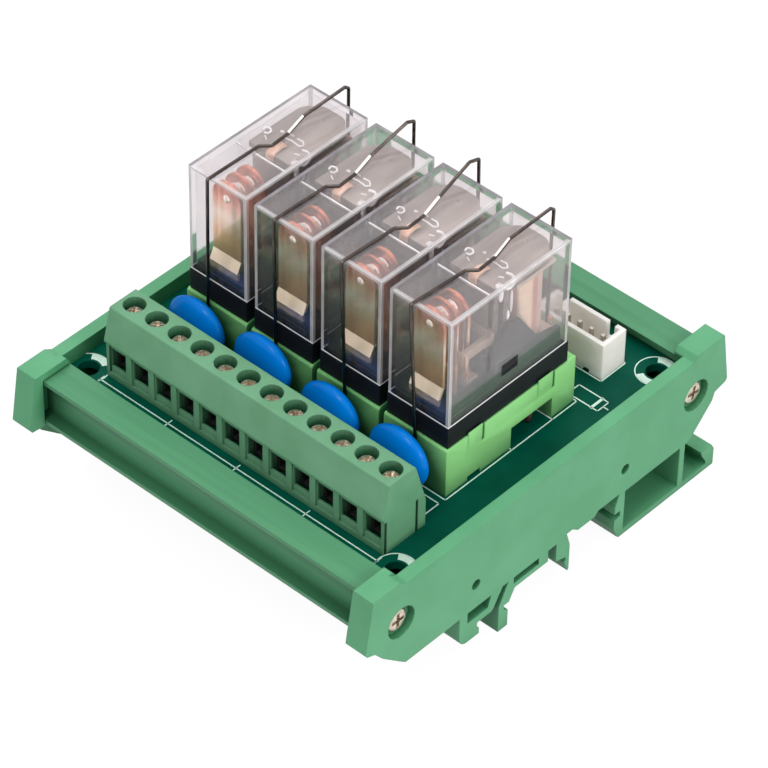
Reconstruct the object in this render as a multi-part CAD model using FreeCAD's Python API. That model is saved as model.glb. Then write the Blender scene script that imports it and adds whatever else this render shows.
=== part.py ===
import FreeCAD, Part
import math
import os

# Relay module board: four plug-in relays, a screw terminal row and a control header on a circuit board,
# which slides into an extruded carrier with two moulded rail brackets.
# X runs along the terminal row, +Z is up and the rail feet stand on z = 0. Lengths are in millimetres.

# flats round a rod or hole
wide_sides = 16
small_sides = 10
hidden_sides = 6
thin_sides = 4
clip_sides = 6

# circuit board
board_length = 73.3
board_width = 72.0
board_thickness = 1.6
board_top = 24.4
board_hole_radius = 1.8
board_hole_x = 33.9
board_hole_y = 31.5
pin_hole_clearance = 0.1

# carrier tray, heights measured from the board's top face
tray_end_clearance = 0.05
tray_ledge_top = 2.4
tray_ledge_thickness = 0.8
tray_lip_thickness = 1.2
tray_groove_clearance = 0.15
tray_opening_half = 34.6
tray_clamp_half = 35.3
tray_web_inner = 37.0
tray_web_thickness = 1.3
tray_half_width = 40.6
tray_floor_bottom = -6.9
tray_floor_thickness = 1.3
tray_flange_thickness = 0.8
tray_rib_thickness = 1.3

# screws that hold the brackets
screw_y = 35.8
screw_height = -4.9
screw_boss_radius = 1.95
screw_shank_radius = 1.2
screw_clearance = 0.05
screw_head_radius = 2.2
screw_head_thickness = 0.8
screw_length = 9.0
screw_recess_radius = 3.0
screw_recess_depth = 1.4

# end brackets
plate_thickness = 2.4
plate_half_width = 34.6
plate_top = 27.4
plate_bottom = 9.8
plate_hole_radius = 0.95
plate_hole_y = 18.2
plate_hole_height = 15.0
hood_depth = 1.8
hood_top = 28.4
hood_top_overhang = 1.8
hood_bottom_overhang = 3.4
hood_bottom = 17.5
hood_edge_rise = 0.6
hood_edge_bevel = 0.4
hood_clearance = 0.15
hood_inner_drop = 0.3
hood_slope_run = 0.8
hood_front_run = 1.7
hood_front_radius = 0.8
foot_width = 10.0
foot_flange_thickness = 1.8
foot_flange_front = -23.0
foot_flange_rear = 34.5

# corners of the plate's sloped lower edge, sideways from the tray's side
slope_start_inset = 4.6
slope_start_height = 11.0
front_slope_inset = 0.6
front_slope_height = 14.6
front_slope_radius = 3.0
front_slope_overhang = 1.2
front_slope_top = 16.8
rear_slope_inset = 0.2
rear_slope_height = 15.4
rear_slope_radius = 1.5
rear_slope_overhang = 0.3
rear_slope_top = 16.9

# rise and dip in the plate's lower edge between the front and middle feet
edge_rise = 0.6
edge_dip = 0.5
edge_step = 0.3
rise_front = 4.0
rise_rear = 5.4
dip_front = 6.8
dip_rear = 11.0
dip_ramp = 0.8

# mounting rails under the feet
rail_width = 35.0
rail_clearance = 0.2
rail_seat = 6.0
rail_groove_height = 1.1
rail_groove_lead = 0.4
rail_lip = 0.5
rail_catch = 1.4
small_rail_seat = 5.1
small_rail_groove_height = 1.0
small_rail_front = -11.1
small_rail_rear = 4.0

# rail feet, each outline measured along Y and up from the foot bottoms
heel_front = -21.9
heel_bottom = 3.3
heel_radius = 2.0
heel_window_front = -20.0
heel_window_rear = -14.4
heel_window_slope = 0.7
heel_bar_top = 7.5
strut_foot = -14.0
strut_head = -11.6
strut_foot_radius = 1.0
leg_front = -12.4
leg_rear = -10.1
leg_head = -10.2
leg_bend = 5.5
leg_groove_lead = 0.6
leg_seat_run = 0.2
leg_brace_run = 1.5
leg_bar_bottom = 7.4
leg_bar_top = 8.4
leg_window_front = -8.9
leg_window_rear = -2.8
leg_bar_rear = -0.5
catch_front = 1.5
catch_rear = 4.9
catch_tip = 1.7
catch_bend = 7.4
catch_bend_radius = 1.0
catch_shoulder = 0.8
catch_barb = 0.3
catch_barb_drop = 1.0
box_wall_inner = 18.6
box_web_front = 32.6
box_web_rear = 33.9
box_floor = 1.2
box_toe_height = 2.6
box_heel = 17.6
box_heel_bevel = 0.6
box_rear = 42.0
box_rear_bend = 3.5
box_lip_height = 4.6
box_lip_front = 38.6
box_lip_bevel = 0.3
box_lip_underside = 3.6
box_lip_wall = 2.0
box_lip_root = 1.8

# screw terminal block
pole_count = 12
pole_pitch = 5.08
terminal_front = -30.6
terminal_rear = -20.95
terminal_height = 14.1
terminal_lip_height = 7.4
terminal_lip_depth = 0.45
terminal_lip_slope = 0.2
terminal_lip_thickness = 0.6
terminal_top_front = -29.5
terminal_top_rear = -23.5
terminal_shoulder = 6.8
terminal_rear_slope_run = 0.35
terminal_rear_slope_drop = 1.3
terminal_edge_radius = 0.3
terminal_dovetail_depth = 0.8
terminal_dovetail_front = -30.5
terminal_dovetail_rear = -23.3
terminal_dovetail_width = 0.55
terminal_wall = 0.8
terminal_screw_y = -26.4
terminal_shaft_radius = 1.9
terminal_shelf = 9.6
terminal_shelf_thickness = 1.0
terminal_chamber_width = 3.8
terminal_chamber_rear = -22.7
wire_entry_width = 3.4
wire_entry_bottom = 2.4
wire_entry_top = 6.3
wire_panel_bottom = 1.2
wire_panel_depth = 0.3
wire_panel_drop = 0.4
clamp_clearance = 0.15
clamp_headroom = 0.2
clamp_wall = 0.5
clamp_depth = 4.6
clamp_bottom = 1.6
clamp_top_thickness = 1.2
terminal_screw_head_radius = 1.75
terminal_screw_head_height = 3.1
terminal_screw_radius = 1.2
tongue_top = 6.7
tongue_thickness = 0.7
tongue_width = 2.2
tongue_overlap = 0.2
terminal_pin_width = 1.0
terminal_pin_thickness = 0.8
pin_length_below_board = 1.6

# disc varistors
varistor_pitch = 14.8
varistor_row_centre = -1.0
varistor_radius = 6.1
varistor_thickness = 4.2
varistor_rim_thickness = 1.8
varistor_flat_radius = 3.6
varistor_y = -17.7
varistor_height = 7.7
varistor_lifts = (0.2, 1.3, 0.0, 0.2)
varistor_lead_radius = 0.4
varistor_lead_pitch = 7.5

# relay sockets
relay_count = 4
relay_pitch = 14.5
relay_row_centre = 0.2
socket_width = 13.4
socket_front = -14.2
socket_rear = 16.8
socket_height = 9.8
spring_bottom = 1.0
socket_tunnel_front = 1.4
socket_tunnel_rear = 11.3
socket_tunnel_height = 4.3
socket_notch_front = -9.0
socket_notch_rear = -6.0
socket_notch_height = 0.8
latch_rise = 0.7
latch_thickness = 0.5
latch_bulge = 0.2
latch_root = 6.6
latch_slot = 0.7
latch_starts = (-9.2, 7.5)
latch_ends = (-5.9, 11.0)
clip_hole_depth = 1.2
clip_hole_height = 5.0
chamber_clearance = 0.1
spring_thickness = 0.3
spring_gap = 0.05
spring_top = 8.6
spring_base_thickness = 0.6
tail_width = 0.8
tail_thickness = 0.5

# relay contacts and coil pins, measured from the relay's centre line
blade_pin_width = 2.0
blade_thickness = 0.5
coil_pin_side = 0.64
open_pin_y = -12.05
moving_pin_y = -7.9
closed_pin_y = -3.5
coil_pin_x = 3.8
coil_pin_y = 13.1
coil_pin_top = 19.0
pin_tip = 5.0

# relay base and cover
relay_base_width = 12.8
relay_base_front = -13.7
relay_base_rear = 15.0
relay_base_top = 14.0
plinth_top = 15.8
cover_width = 12.7
cover_front = -13.6
cover_rear = 14.7
cover_top = 35.6
cover_wall = 0.8
cover_fit = 0.05
partition_y = -3.6
partition_thickness = 0.6
partition_bottom = 19.0
partition_window_bottom = 22.4
partition_window_top = 25.8
partition_window_width = 10.2
pad_front = -9.7
pad_bend_y = -6.0
pad_bottom = 21.7
pad_rear_bottom = 18.7
pad_depth = 0.3
cover_window_front = -1.2
cover_window_rear = 2.7
cover_window_bottom = 16.8
cover_window_top = 19.2
lug_depth = 0.55
lug_edge = 0.8
lug_clearance = 0.1

# base gussets, front to rear
gusset_thickness = 0.75
gusset_foot_y = -3.0
gusset_shoulder_y = -2.2
gusset_shoulder_height = 22.6
gusset_peak_front_y = 0.5
gusset_peak_front_height = 26.2
gusset_peak_rear_y = 3.7
gusset_peak_rear_height = 25.5
gusset_slope_y = 8.4
gusset_slope_height = 18.7
gusset_tail_gap = 0.2
gusset_tail_height = 17.6

# coil, core and yoke
coil_y = 8.1
bobbin_width = 9.4
bobbin_depth = 9.2
bobbin_bottom = 17.0
bobbin_top = 31.9
bobbin_flange = 0.7
bobbin_barrel_radius = 2.3
winding_radius = 4.6
core_radius = 1.8
core_head_radius = 3.2
core_head_thickness = 0.35
coil_clearance = 0.05
yoke_width = 8.4
yoke_thickness = 1.2
yoke_corner_cut = 0.7
yoke_front = 1.0
yoke_foot_rear = 11.5
yoke_top = 32.6

# armature, actuator card and contacts
armature_lift = 0.1
armature_thickness = 1.1
armature_front = -1.2
armature_rear = 13.6
armature_width = 10.0
armature_corner_cut = 2.6
armature_leg_width = 8.2
armature_leg_bottom = 22.8
card_bottom = 23.2
card_top = 25.0
card_width = 8.8
card_prong_width = 1.0
card_bar_depth = 1.4
card_prong_end = -8.05
moving_blade_front = -8.6
moving_blade_thickness = 0.4
moving_blade_bottom = 16.0
blade_width = 6.2
blade_crown_room = 0.9
shoulder_width = 10.0
shoulder_bottom = 22.8
shoulder_top = 25.2
rivet_radius = 1.6
moving_rivet_front = -9.3
moving_rivet_rear = -7.2
open_blade_front = -11.4
open_rivet_face = -10.0
open_blade_bend = 19.2
fixed_blade_thickness = 0.6
closed_blade_front = -6.2
closed_rivet_face = -7.1
closed_foot_height = 16.2
blade_heel = 1.4
leg_overlap = 0.3
moving_tab_top = 17.0

# spring wire clips
clip_wire_radius = 0.33
clip_gap = 0.05
clip_bend_radius = 1.0
clip_front_x = -1.2
clip_front_bend_y = -2.8
clip_first_kink_x = 0.2
clip_first_kink_y = -1.2
clip_second_kink_x = 0.3
clip_second_kink_y = 2.3
clip_third_kink_x = -0.9
clip_third_kink_y = 7.1
clip_peak_x = 0.4
clip_peak_y = 16.3
clip_peak_rise = 2.9
clip_heel_drop = 0.7
clip_rear_x = -0.2

# diodes under the sockets
diode_x = 4.5
diode_y = 8.0
diode_body_radius = 0.8
diode_body_bottom = 0.3
diode_body_top = 2.6
diode_lead_radius = 0.22
diode_lead_pitch = 1.6
diode_bend_height = 2.9

# control header
header_pin_count = 5
header_pitch = 2.5
header_centre_x = 21.3
header_overhang = 2.45
header_front = 23.65
header_depth = 5.75
header_height = 7.4
header_wall = 0.8
header_floor = 2.2
header_pin_side = 0.64
header_pin_y = 26.6
header_pin_top = 6.5
header_notch_start = 3.4
header_notch_width = 1.6
header_notch_bottom = 4.3
header_foot_gap = 1.4
header_foot_height = 0.7

# places worked out from the sizes above
tray_inner_end = board_length / 2 + tray_end_clearance
bracket_outer_face = tray_inner_end + plate_thickness
board_bottom = -board_thickness
hood_outer_top = tray_half_width + hood_top_overhang
hood_outer_bottom = tray_half_width + hood_bottom_overhang
pin_end = board_bottom - pin_length_below_board
groove_root = (rail_width + rail_clearance) / 2
groove_bottom = rail_seat - rail_groove_height
small_groove_bottom = small_rail_seat - small_rail_groove_height
recess_floor = bracket_outer_face - screw_recess_depth
relay_positions = [relay_row_centre + (k - (relay_count - 1) / 2) * relay_pitch for k in range(relay_count)]
pole_positions = [(k - (pole_count - 1) / 2) * pole_pitch for k in range(pole_count)]
chamber_top = terminal_shelf - terminal_shelf_thickness
armature_bottom = yoke_top + armature_lift
armature_top = armature_bottom + armature_thickness
blade_crown_height = cover_top - cover_wall - blade_crown_room - blade_width / 2
cover_inner_width = cover_width - 2 * cover_wall
cover_inner_front = cover_front + cover_wall
cover_inner_rear = cover_rear - cover_wall
plinth_width = cover_inner_width - 2 * cover_fit


def span_box(x_range, y_range, z_range):
    """Box between two values on each axis."""
    size = [high - low for low, high in (x_range, y_range, z_range)]
    corner = FreeCAD.Vector(x_range[0], y_range[0], z_range[0])
    return Part.makeBox(*size, corner)


def centred(middle, width):
    """Low and high end of a width about its middle."""
    return (middle - width / 2, middle + width / 2)


def corner_arc(before, corner, after, radius):
    """Start, middle and end of the arc that rounds one corner."""
    back = (before - corner).normalize()
    ahead = (after - corner).normalize()
    half_angle = back.getAngle(ahead) / 2
    inward = (back + ahead).normalize()
    reach = radius / math.tan(half_angle)
    start = corner + back * reach
    middle = corner + inward * (radius / math.sin(half_angle) - radius)
    return start, middle, corner + ahead * reach


def path_stops(points, radii, closed):
    """Each corner as one point, or as three points on its arc."""
    stops = []
    count = len(points)
    for index, point in enumerate(points):
        inner = closed or 0 < index < count - 1
        if inner and radii[index] > 0:
            before, after = points[index - 1], points[(index + 1) % count]
            stops.append(corner_arc(before, point, after, radii[index]))
        else:
            stops.append((point,))
    return stops


def rounded_path(points, radii, closed):
    """Wire through points, with an arc at each corner that has a radius."""
    edges = []
    pen = None
    stops = path_stops(points, radii, closed)
    for stop in stops:
        if pen is not None:
            edges.append(Part.makeLine(pen, stop[0]))
        if len(stop) == 3:
            edges.append(Part.Arc(*stop).toShape())
        pen = stop[-1]
    if closed:
        edges.append(Part.makeLine(pen, stops[0][0]))
    return Part.Wire(edges)


def side_prism(outline, x_range):
    """Solid along X from corners (y, z) or (y, z, radius)."""
    points = [FreeCAD.Vector(x_range[0], corner[0], corner[1]) for corner in outline]
    radii = [corner[2] if len(corner) > 2 else 0 for corner in outline]
    face = Part.Face(rounded_path(points, radii, True))
    return face.extrude(FreeCAD.Vector(x_range[1] - x_range[0], 0, 0))


def upright_prism(outline, y_range):
    """Solid along Y from corners (x, z) or (x, z, radius)."""
    points = [FreeCAD.Vector(corner[0], y_range[0], corner[1]) for corner in outline]
    radii = [corner[2] if len(corner) > 2 else 0 for corner in outline]
    face = Part.Face(rounded_path(points, radii, True))
    return face.extrude(FreeCAD.Vector(0, y_range[1] - y_range[0], 0))


def flat_prism(outline, z_range):
    """Solid along Z from corners (x, y) or (x, y, radius)."""
    points = [FreeCAD.Vector(corner[0], corner[1], z_range[0]) for corner in outline]
    radii = [corner[2] if len(corner) > 2 else 0 for corner in outline]
    face = Part.Face(rounded_path(points, radii, True))
    return face.extrude(FreeCAD.Vector(0, 0, z_range[1] - z_range[0]))


def ring_points(radius, centre, direction, sides):
    """Corners of an even polygon square to a direction, its flats set square to the axes."""
    turn = FreeCAD.Rotation(FreeCAD.Vector(0, 0, 1), direction)
    corners = []
    for k in range(sides):
        angle = (2 * k + 1) * math.pi / sides
        spoke = FreeCAD.Vector(radius * math.cos(angle), radius * math.sin(angle), 0)
        corners.append(centre + turn.multVec(spoke))
    return corners


def many_sided(radius, start, end, sides):
    """Straight-sided rod between two points, its corners on the radius."""
    start, end = FreeCAD.Vector(*start), FreeCAD.Vector(*end)
    corners = ring_points(radius, start, end - start, sides)
    return Part.Face(Part.makePolygon(corners + corners[:1])).extrude(end - start)


def many_sided_hole(radius, start, end, sides):
    """Cutter for a straight-sided hole, its flats on the radius."""
    return many_sided(radius / math.cos(math.pi / sides), start, end, sides)


def skinned(rings):
    """Solid with flat faces from ring to ring."""
    loops = [rings[0], rings[-1]]
    for low, high in zip(rings, rings[1:]):
        loops += [[low[k - 1], low[k], high[k], high[k - 1]] for k in range(len(low))]
    faces = [Part.Face(Part.makePolygon(loop + loop[:1])) for loop in loops]
    return Part.Solid(Part.Shell(faces))


def bent_wire(points, radii, radius, sides):
    """Straight-sided wire along a path, with each bend in two mitred steps."""
    stops = path_stops([FreeCAD.Vector(*point) for point in points], radii, False)
    spots = [spot for stop in stops for spot in stop]
    runs = [(far - near).normalize() for near, far in zip(spots, spots[1:])]
    rings = [ring_points(radius, spots[0], runs[0], sides)]
    for index, spot in enumerate(spots[1:]):
        run = runs[index]
        mitre = run + runs[min(index + 1, len(runs) - 1)]
        rings.append([dot + run * ((spot - dot).dot(mitre) / run.dot(mitre)) for dot in rings[-1]])
    return skinned(rings)


def joined(pieces):
    """One solid from pieces that meet."""
    return pieces[0].multiFuse(pieces[1:]).removeSplitter()


def moved(shape, x, y=0, z=0):
    copy = shape.copy()
    copy.translate(FreeCAD.Vector(x, y, z))
    return copy


def mirrored(shape, x, y=0):
    return shape.mirror(FreeCAD.Vector(0, 0, 0), FreeCAD.Vector(x, y, 0))


# Carrier

def make_carrier_tray():
    """Extrusion with a floor, two board grooves, side channels and screw channels."""
    web_outer = tray_web_inner + tray_web_thickness
    ledge_bottom = tray_ledge_top - tray_ledge_thickness
    floor_top = tray_floor_bottom + tray_floor_thickness
    flange_top = tray_floor_bottom + tray_flange_thickness
    rib_top = board_bottom - tray_groove_clearance
    half = [
        (tray_half_width, tray_floor_bottom),
        (tray_half_width, flange_top),
        (web_outer, flange_top),
        (web_outer, ledge_bottom),
        (tray_half_width, ledge_bottom),
        (tray_half_width, tray_ledge_top),
        (tray_opening_half, tray_ledge_top),
        (tray_opening_half, tray_ledge_top - tray_lip_thickness),
        (tray_clamp_half, tray_ledge_top - tray_lip_thickness),
        (tray_clamp_half, tray_groove_clearance),
        (tray_web_inner, tray_groove_clearance),
        (tray_web_inner, rib_top),
        (tray_opening_half, rib_top),
        (tray_opening_half, rib_top - tray_rib_thickness),
        (tray_web_inner, rib_top - tray_rib_thickness),
        (tray_web_inner, floor_top),
    ]
    other_half = [(-corner[0],) + corner[1:] for corner in reversed(half)]
    ends = (-tray_inner_end, tray_inner_end)
    tray = side_prism(half + other_half, ends)
    centres = [(-screw_y, screw_height), (screw_y, screw_height)]
    bosses = [many_sided(screw_boss_radius, (ends[0], y, z), (ends[1], y, z), wide_sides) for y, z in centres]
    tray = joined([tray] + bosses)
    for y, z in centres:
        bore_ends = (ends[0], y, z), (ends[1], y, z)
        bore = many_sided_hole(screw_shank_radius + screw_clearance, *bore_ends, hidden_sides)
        tray = tray.cut(bore)
    return moved(tray, 0, 0, board_top)


def raised_edge():
    """Rise and dip in the lower edge of the bracket plate, front to rear."""
    return [
        (rise_front - edge_rise, plate_bottom),
        (rise_front, plate_bottom + edge_rise),
        (rise_rear, plate_bottom + edge_rise),
        (dip_front, plate_bottom - edge_dip),
        (dip_rear, plate_bottom - edge_dip),
        (dip_rear + dip_ramp, plate_bottom + edge_step),
        (groove_root - edge_dip, plate_bottom + edge_step),
        (groove_root, plate_bottom),
    ]


def bracket_outline():
    """End view of the bracket plate, with its sloped hoods and the raised stretch of its lower edge."""
    edge = plate_half_width
    slope_start = tray_half_width - slope_start_inset
    return [(-edge, plate_bottom)] + raised_edge() + [
        (edge, plate_bottom),
        (slope_start, slope_start_height),
        (tray_half_width - rear_slope_inset, rear_slope_height, rear_slope_radius),
        (tray_half_width + rear_slope_overhang, rear_slope_top),
        (hood_outer_bottom - hood_edge_bevel, hood_bottom),
        (hood_outer_bottom, hood_bottom + hood_edge_rise),
        (hood_outer_top, hood_top),
        (edge + hood_slope_run, hood_top),
        (edge, plate_top),
        (-edge, plate_top),
        (-edge - hood_front_run, hood_top, hood_front_radius),
        (-hood_outer_top, hood_top),
        (-hood_outer_bottom, hood_bottom + hood_edge_rise),
        (-hood_outer_bottom + hood_edge_bevel, hood_bottom),
        (-tray_half_width - front_slope_overhang, front_slope_top),
        (-tray_half_width + front_slope_inset, front_slope_height, front_slope_radius),
        (-slope_start, slope_start_height),
    ]


def make_hook_foot(x_range):
    """Front foot: rigid rail hook with its slanted strut, then the springy leg and its bar."""
    hook_end = rail_lip - groove_root
    heel = side_prism([
        (heel_front, plate_bottom),
        (heel_front, heel_bottom, heel_radius),
        (hook_end, heel_bottom),
        (hook_end, groove_bottom - rail_groove_lead),
        (-groove_root, groove_bottom),
        (-groove_root, rail_seat),
        (strut_foot, rail_seat, strut_foot_radius),
        (strut_head, plate_bottom),
    ], x_range)
    heel_window = side_prism([
        (heel_window_front, heel_bar_top),
        (heel_window_rear - heel_window_slope, heel_bar_top),
        (heel_window_rear, plate_bottom),
        (heel_window_front, plate_bottom),
    ], x_range)
    leg = side_prism([
        (leg_head, plate_bottom),
        (leg_front, leg_bend),
        (leg_front, 0),
        (leg_rear, 0),
        (leg_rear, small_groove_bottom - leg_groove_lead),
        (small_rail_front, small_groove_bottom),
        (small_rail_front, small_rail_seat),
        (leg_rear + leg_seat_run, small_rail_seat),
        (leg_rear + leg_brace_run, leg_bar_bottom),
        (leg_bar_rear, leg_bar_bottom),
        (leg_bar_rear, plate_bottom),
    ], x_range)
    leg_window = span_box(x_range, (leg_window_front, leg_window_rear), (leg_bar_top, plate_bottom))
    return [heel.cut(heel_window), leg.cut(leg_window)]


def make_catch_leg(x_range):
    """Middle leg with the small rail's snap edge."""
    root_height = plate_bottom + edge_rise
    return side_prism([
        (catch_front, root_height),
        (catch_front, small_rail_seat + catch_shoulder),
        (small_rail_rear, small_rail_seat),
        (small_rail_rear, small_groove_bottom + catch_barb),
        (small_rail_rear - catch_barb, small_groove_bottom),
        (small_rail_rear, small_groove_bottom - catch_barb_drop),
        (catch_rear - catch_barb, catch_tip),
        (catch_rear, catch_tip + catch_barb),
        (catch_rear, catch_bend, catch_bend_radius),
        (small_rail_rear, root_height),
    ], x_range)


def make_box_foot(x_range):
    """Rear foot: hollow box whose front wall holds the rail's other edge, with a lip for a lever."""
    wall_front = groove_root - rail_catch
    root_height = plate_bottom + edge_step
    outer = side_prism([
        (groove_root - edge_dip, root_height),
        (wall_front, heel_bar_top),
        (wall_front, rail_seat),
        (groove_root, rail_seat),
        (groove_root, groove_bottom),
        (wall_front, groove_bottom - rail_groove_lead),
        (wall_front, box_toe_height),
        (box_heel - box_heel_bevel, box_heel_bevel),
        (box_heel, 0),
        (box_rear, 0),
        (box_rear, box_rear_bend),
        (box_rear - box_heel_bevel, box_lip_height),
        (box_lip_front, box_lip_height),
        (box_lip_front + box_lip_bevel, box_lip_underside),
        (box_rear - box_lip_wall, box_lip_root),
        (box_rear - box_lip_wall, box_floor),
        (box_web_rear, box_floor),
        (box_web_rear, root_height),
    ], x_range)
    hollow = span_box(x_range, (box_wall_inner, box_web_front), (box_floor, plate_bottom))
    return outer.cut(hollow)


def make_foot_flange(x_range):
    """Strip that carries the feet, with the plate's raised stretch in its underside."""
    top = plate_bottom + foot_flange_thickness
    front_end = [(foot_flange_front, top), (foot_flange_front, plate_bottom)]
    rear_end = [(foot_flange_rear, plate_bottom), (foot_flange_rear, top)]
    return side_prism(front_end + raised_edge() + rear_end, x_range)


def make_hood(side):
    """Wall and roof that cover the tray's end on one side."""
    inner_wall = tray_half_width + hood_clearance
    roof_bottom = board_top + tray_ledge_top + hood_clearance
    outline = [
        (plate_half_width, roof_bottom),
        (inner_wall, roof_bottom),
        (inner_wall, hood_bottom - hood_inner_drop),
        (hood_outer_bottom - hood_edge_bevel, hood_bottom),
        (hood_outer_bottom, hood_bottom + hood_edge_rise),
        (hood_outer_top, hood_top),
        (plate_half_width + hood_slope_run, hood_top),
        (plate_half_width, plate_top),
    ]
    if side < 0:
        outline = [(-y, z) for y, z in outline]
    return side_prism(outline, (tray_inner_end - hood_depth, tray_inner_end))


def make_bracket():
    """Right end bracket."""
    plate = side_prism(bracket_outline(), (tray_inner_end, bracket_outer_face))
    foot_range = (bracket_outer_face - foot_width, bracket_outer_face)
    feet = make_hook_foot(foot_range) + [make_catch_leg(foot_range), make_box_foot(foot_range)]
    bracket = joined([plate, make_hood(1), make_hood(-1), make_foot_flange(foot_range)] + feet)
    beyond = bracket_outer_face + 1
    for side in (-1, 1):
        centre = (side * screw_y, board_top + screw_height)
        inside = tray_inner_end - 1
        recess = many_sided_hole(screw_recess_radius, (recess_floor, *centre), (beyond, *centre), wide_sides)
        bore_radius = screw_shank_radius + screw_clearance
        bore = many_sided_hole(bore_radius, (inside, *centre), (beyond, *centre), hidden_sides)
        spot = (side * plate_hole_y, plate_hole_height)
        hole = many_sided_hole(plate_hole_radius, (inside, *spot), (beyond, *spot), small_sides)
        bracket = bracket.cut(recess).cut(bore).cut(hole)
    return bracket


def make_bracket_screws():
    """Four self-tapping screws along X."""
    screws = []
    for side in (-1, 1):
        centre = (side * screw_y, board_top + screw_height)
        head_face = recess_floor + screw_head_thickness
        head = many_sided(screw_head_radius, (recess_floor, *centre), (head_face, *centre), small_sides)
        tip = recess_floor - screw_length
        shank = many_sided(screw_shank_radius, (tip, *centre), (recess_floor, *centre), hidden_sides)
        screw = joined([head, shank])
        screws += [screw, mirrored(screw, 1)]
    return Part.makeCompound(screws)


# Relay module pins, shared by the board, the sockets and the relays

def blade_pin_places():
    """Places of the three contact pins of one relay, from its centre line."""
    return [(0, open_pin_y), (0, moving_pin_y), (0, closed_pin_y)]


def coil_pin_places():
    return [(-coil_pin_x, coil_pin_y), (coil_pin_x, coil_pin_y)]


def terminal_pin_y():
    return terminal_chamber_rear - clamp_clearance - terminal_pin_thickness / 2


def varistor_places():
    places = []
    for index, lift in enumerate(varistor_lifts):
        x = varistor_row_centre + (index - (len(varistor_lifts) - 1) / 2) * varistor_pitch
        places.append((x, varistor_height + lift))
    return places


def header_pin_places():
    first = header_centre_x - (header_pin_count - 1) / 2 * header_pitch
    return [first + k * header_pitch for k in range(header_pin_count)]


def board_pin_holes():
    """Centre and half width of each plated hole."""
    def around(width, thickness):
        return max(width, thickness) / 2 + pin_hole_clearance
    holes = []
    for x in pole_positions:
        holes.append((x, terminal_pin_y(), around(terminal_pin_width, terminal_pin_thickness)))
    for x, _ in varistor_places():
        for lead_x in centred(x, varistor_lead_pitch):
            holes.append((lead_x, varistor_y, varistor_lead_radius + pin_hole_clearance))
    for centre in relay_positions:
        for x, y in blade_pin_places() + coil_pin_places():
            holes.append((centre + x, y, around(tail_width, tail_thickness)))
        for x in (diode_x, diode_x - diode_lead_pitch):
            holes.append((centre + x, diode_y, diode_lead_radius + pin_hole_clearance))
    for x in header_pin_places():
        holes.append((x, header_pin_y, around(header_pin_side, header_pin_side)))
    return holes


def make_circuit_board():
    half_length, half_width = board_length / 2, board_width / 2
    board = span_box((-half_length, half_length), (-half_width, half_width), (board_bottom, 0))
    cutters = []
    for x, y, radius in board_pin_holes():
        cutters.append(many_sided_hole(radius, (x, y, board_bottom - 1), (x, y, 1), thin_sides))
    for x in (-board_hole_x, board_hole_x):
        for y in (-board_hole_y, board_hole_y):
            ends = (x, y, board_bottom - 1), (x, y, 1)
            cutters.append(many_sided_hole(board_hole_radius, *ends, wide_sides))
    return moved(board.cut(Part.makeCompound(cutters)), 0, 0, board_top)


# Screw terminal block

def make_terminal_housing():
    """Row housing with a screw shaft, a clamp chamber and a wire entry for each pole."""
    half_length = pole_count * pole_pitch / 2
    lip_front = terminal_front - terminal_lip_depth
    outline = [
        (terminal_front, 0),
        (terminal_front, terminal_lip_height),
        (lip_front, terminal_lip_height + terminal_lip_slope),
        (lip_front, terminal_lip_height + terminal_lip_thickness),
        (terminal_top_front, terminal_height, terminal_edge_radius),
        (terminal_top_rear, terminal_height, terminal_edge_radius),
        (terminal_rear - terminal_rear_slope_run, terminal_shoulder),
        (terminal_rear, terminal_shoulder - terminal_rear_slope_drop),
        (terminal_rear, 0),
    ]
    housing = side_prism(outline, (-half_length, half_length))
    front_wall = terminal_front + terminal_wall
    cutters = []
    for x in pole_positions:
        chamber_range = centred(x, terminal_chamber_width)
        entry_range = centred(x, wire_entry_width)
        spot = (x, terminal_screw_y)
        shaft_ends = (*spot, terminal_shelf), (*spot, terminal_height + 1)
        cutters.append(many_sided_hole(terminal_shaft_radius, *shaft_ends, wide_sides))
        bore_ends = (*spot, chamber_top - 1), (*spot, terminal_shelf + 1)
        cutters.append(many_sided_hole(terminal_screw_radius + screw_clearance, *bore_ends, thin_sides))
        chamber_depth = (front_wall, terminal_chamber_rear)
        cutters.append(span_box(chamber_range, chamber_depth, (-1, chamber_top)))
        entry_depth = (terminal_front - 1, front_wall + 1)
        cutters.append(span_box(entry_range, entry_depth, (wire_entry_bottom, wire_entry_top)))
        panel_depth = (terminal_front - 1, terminal_front + wire_panel_depth)
        panel_top = terminal_lip_height - wire_panel_drop
        cutters.append(span_box(chamber_range, panel_depth, (wire_panel_bottom, panel_top)))
    for start in (terminal_dovetail_front, terminal_dovetail_rear):
        y_range = (start, start + terminal_dovetail_width)
        for side in (-1, 1):
            x_range = sorted((side * (half_length + 1), side * (half_length - terminal_dovetail_depth)))
            cutters.append(span_box(x_range, y_range, (-1, terminal_shoulder)))
    return moved(housing.cut(Part.makeCompound(cutters)), 0, 0, board_top)


def make_terminal_clamps():
    """Rising cages, one ring of sheet for each pole with a bored top."""
    clamps = []
    outer_width = terminal_chamber_width - 2 * clamp_clearance
    clamp_top = chamber_top - clamp_headroom
    y_range = centred(terminal_screw_y, clamp_depth)
    for x in pole_positions:
        ring = span_box(centred(x, outer_width), y_range, (clamp_bottom, clamp_top))
        window_range = centred(x, outer_width - 2 * clamp_wall)
        window_top = clamp_top - clamp_top_thickness
        window_depth = (y_range[0] - 1, y_range[1] + 1)
        ring = ring.cut(span_box(window_range, window_depth, (clamp_bottom + clamp_wall, window_top)))
        bore_ends = (x, terminal_screw_y, window_top - 1), (x, terminal_screw_y, clamp_top + 1)
        bore = many_sided_hole(terminal_screw_radius + screw_clearance, *bore_ends, thin_sides)
        clamps.append(moved(ring.cut(bore), 0, 0, board_top))
    return Part.makeCompound(clamps)


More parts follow.
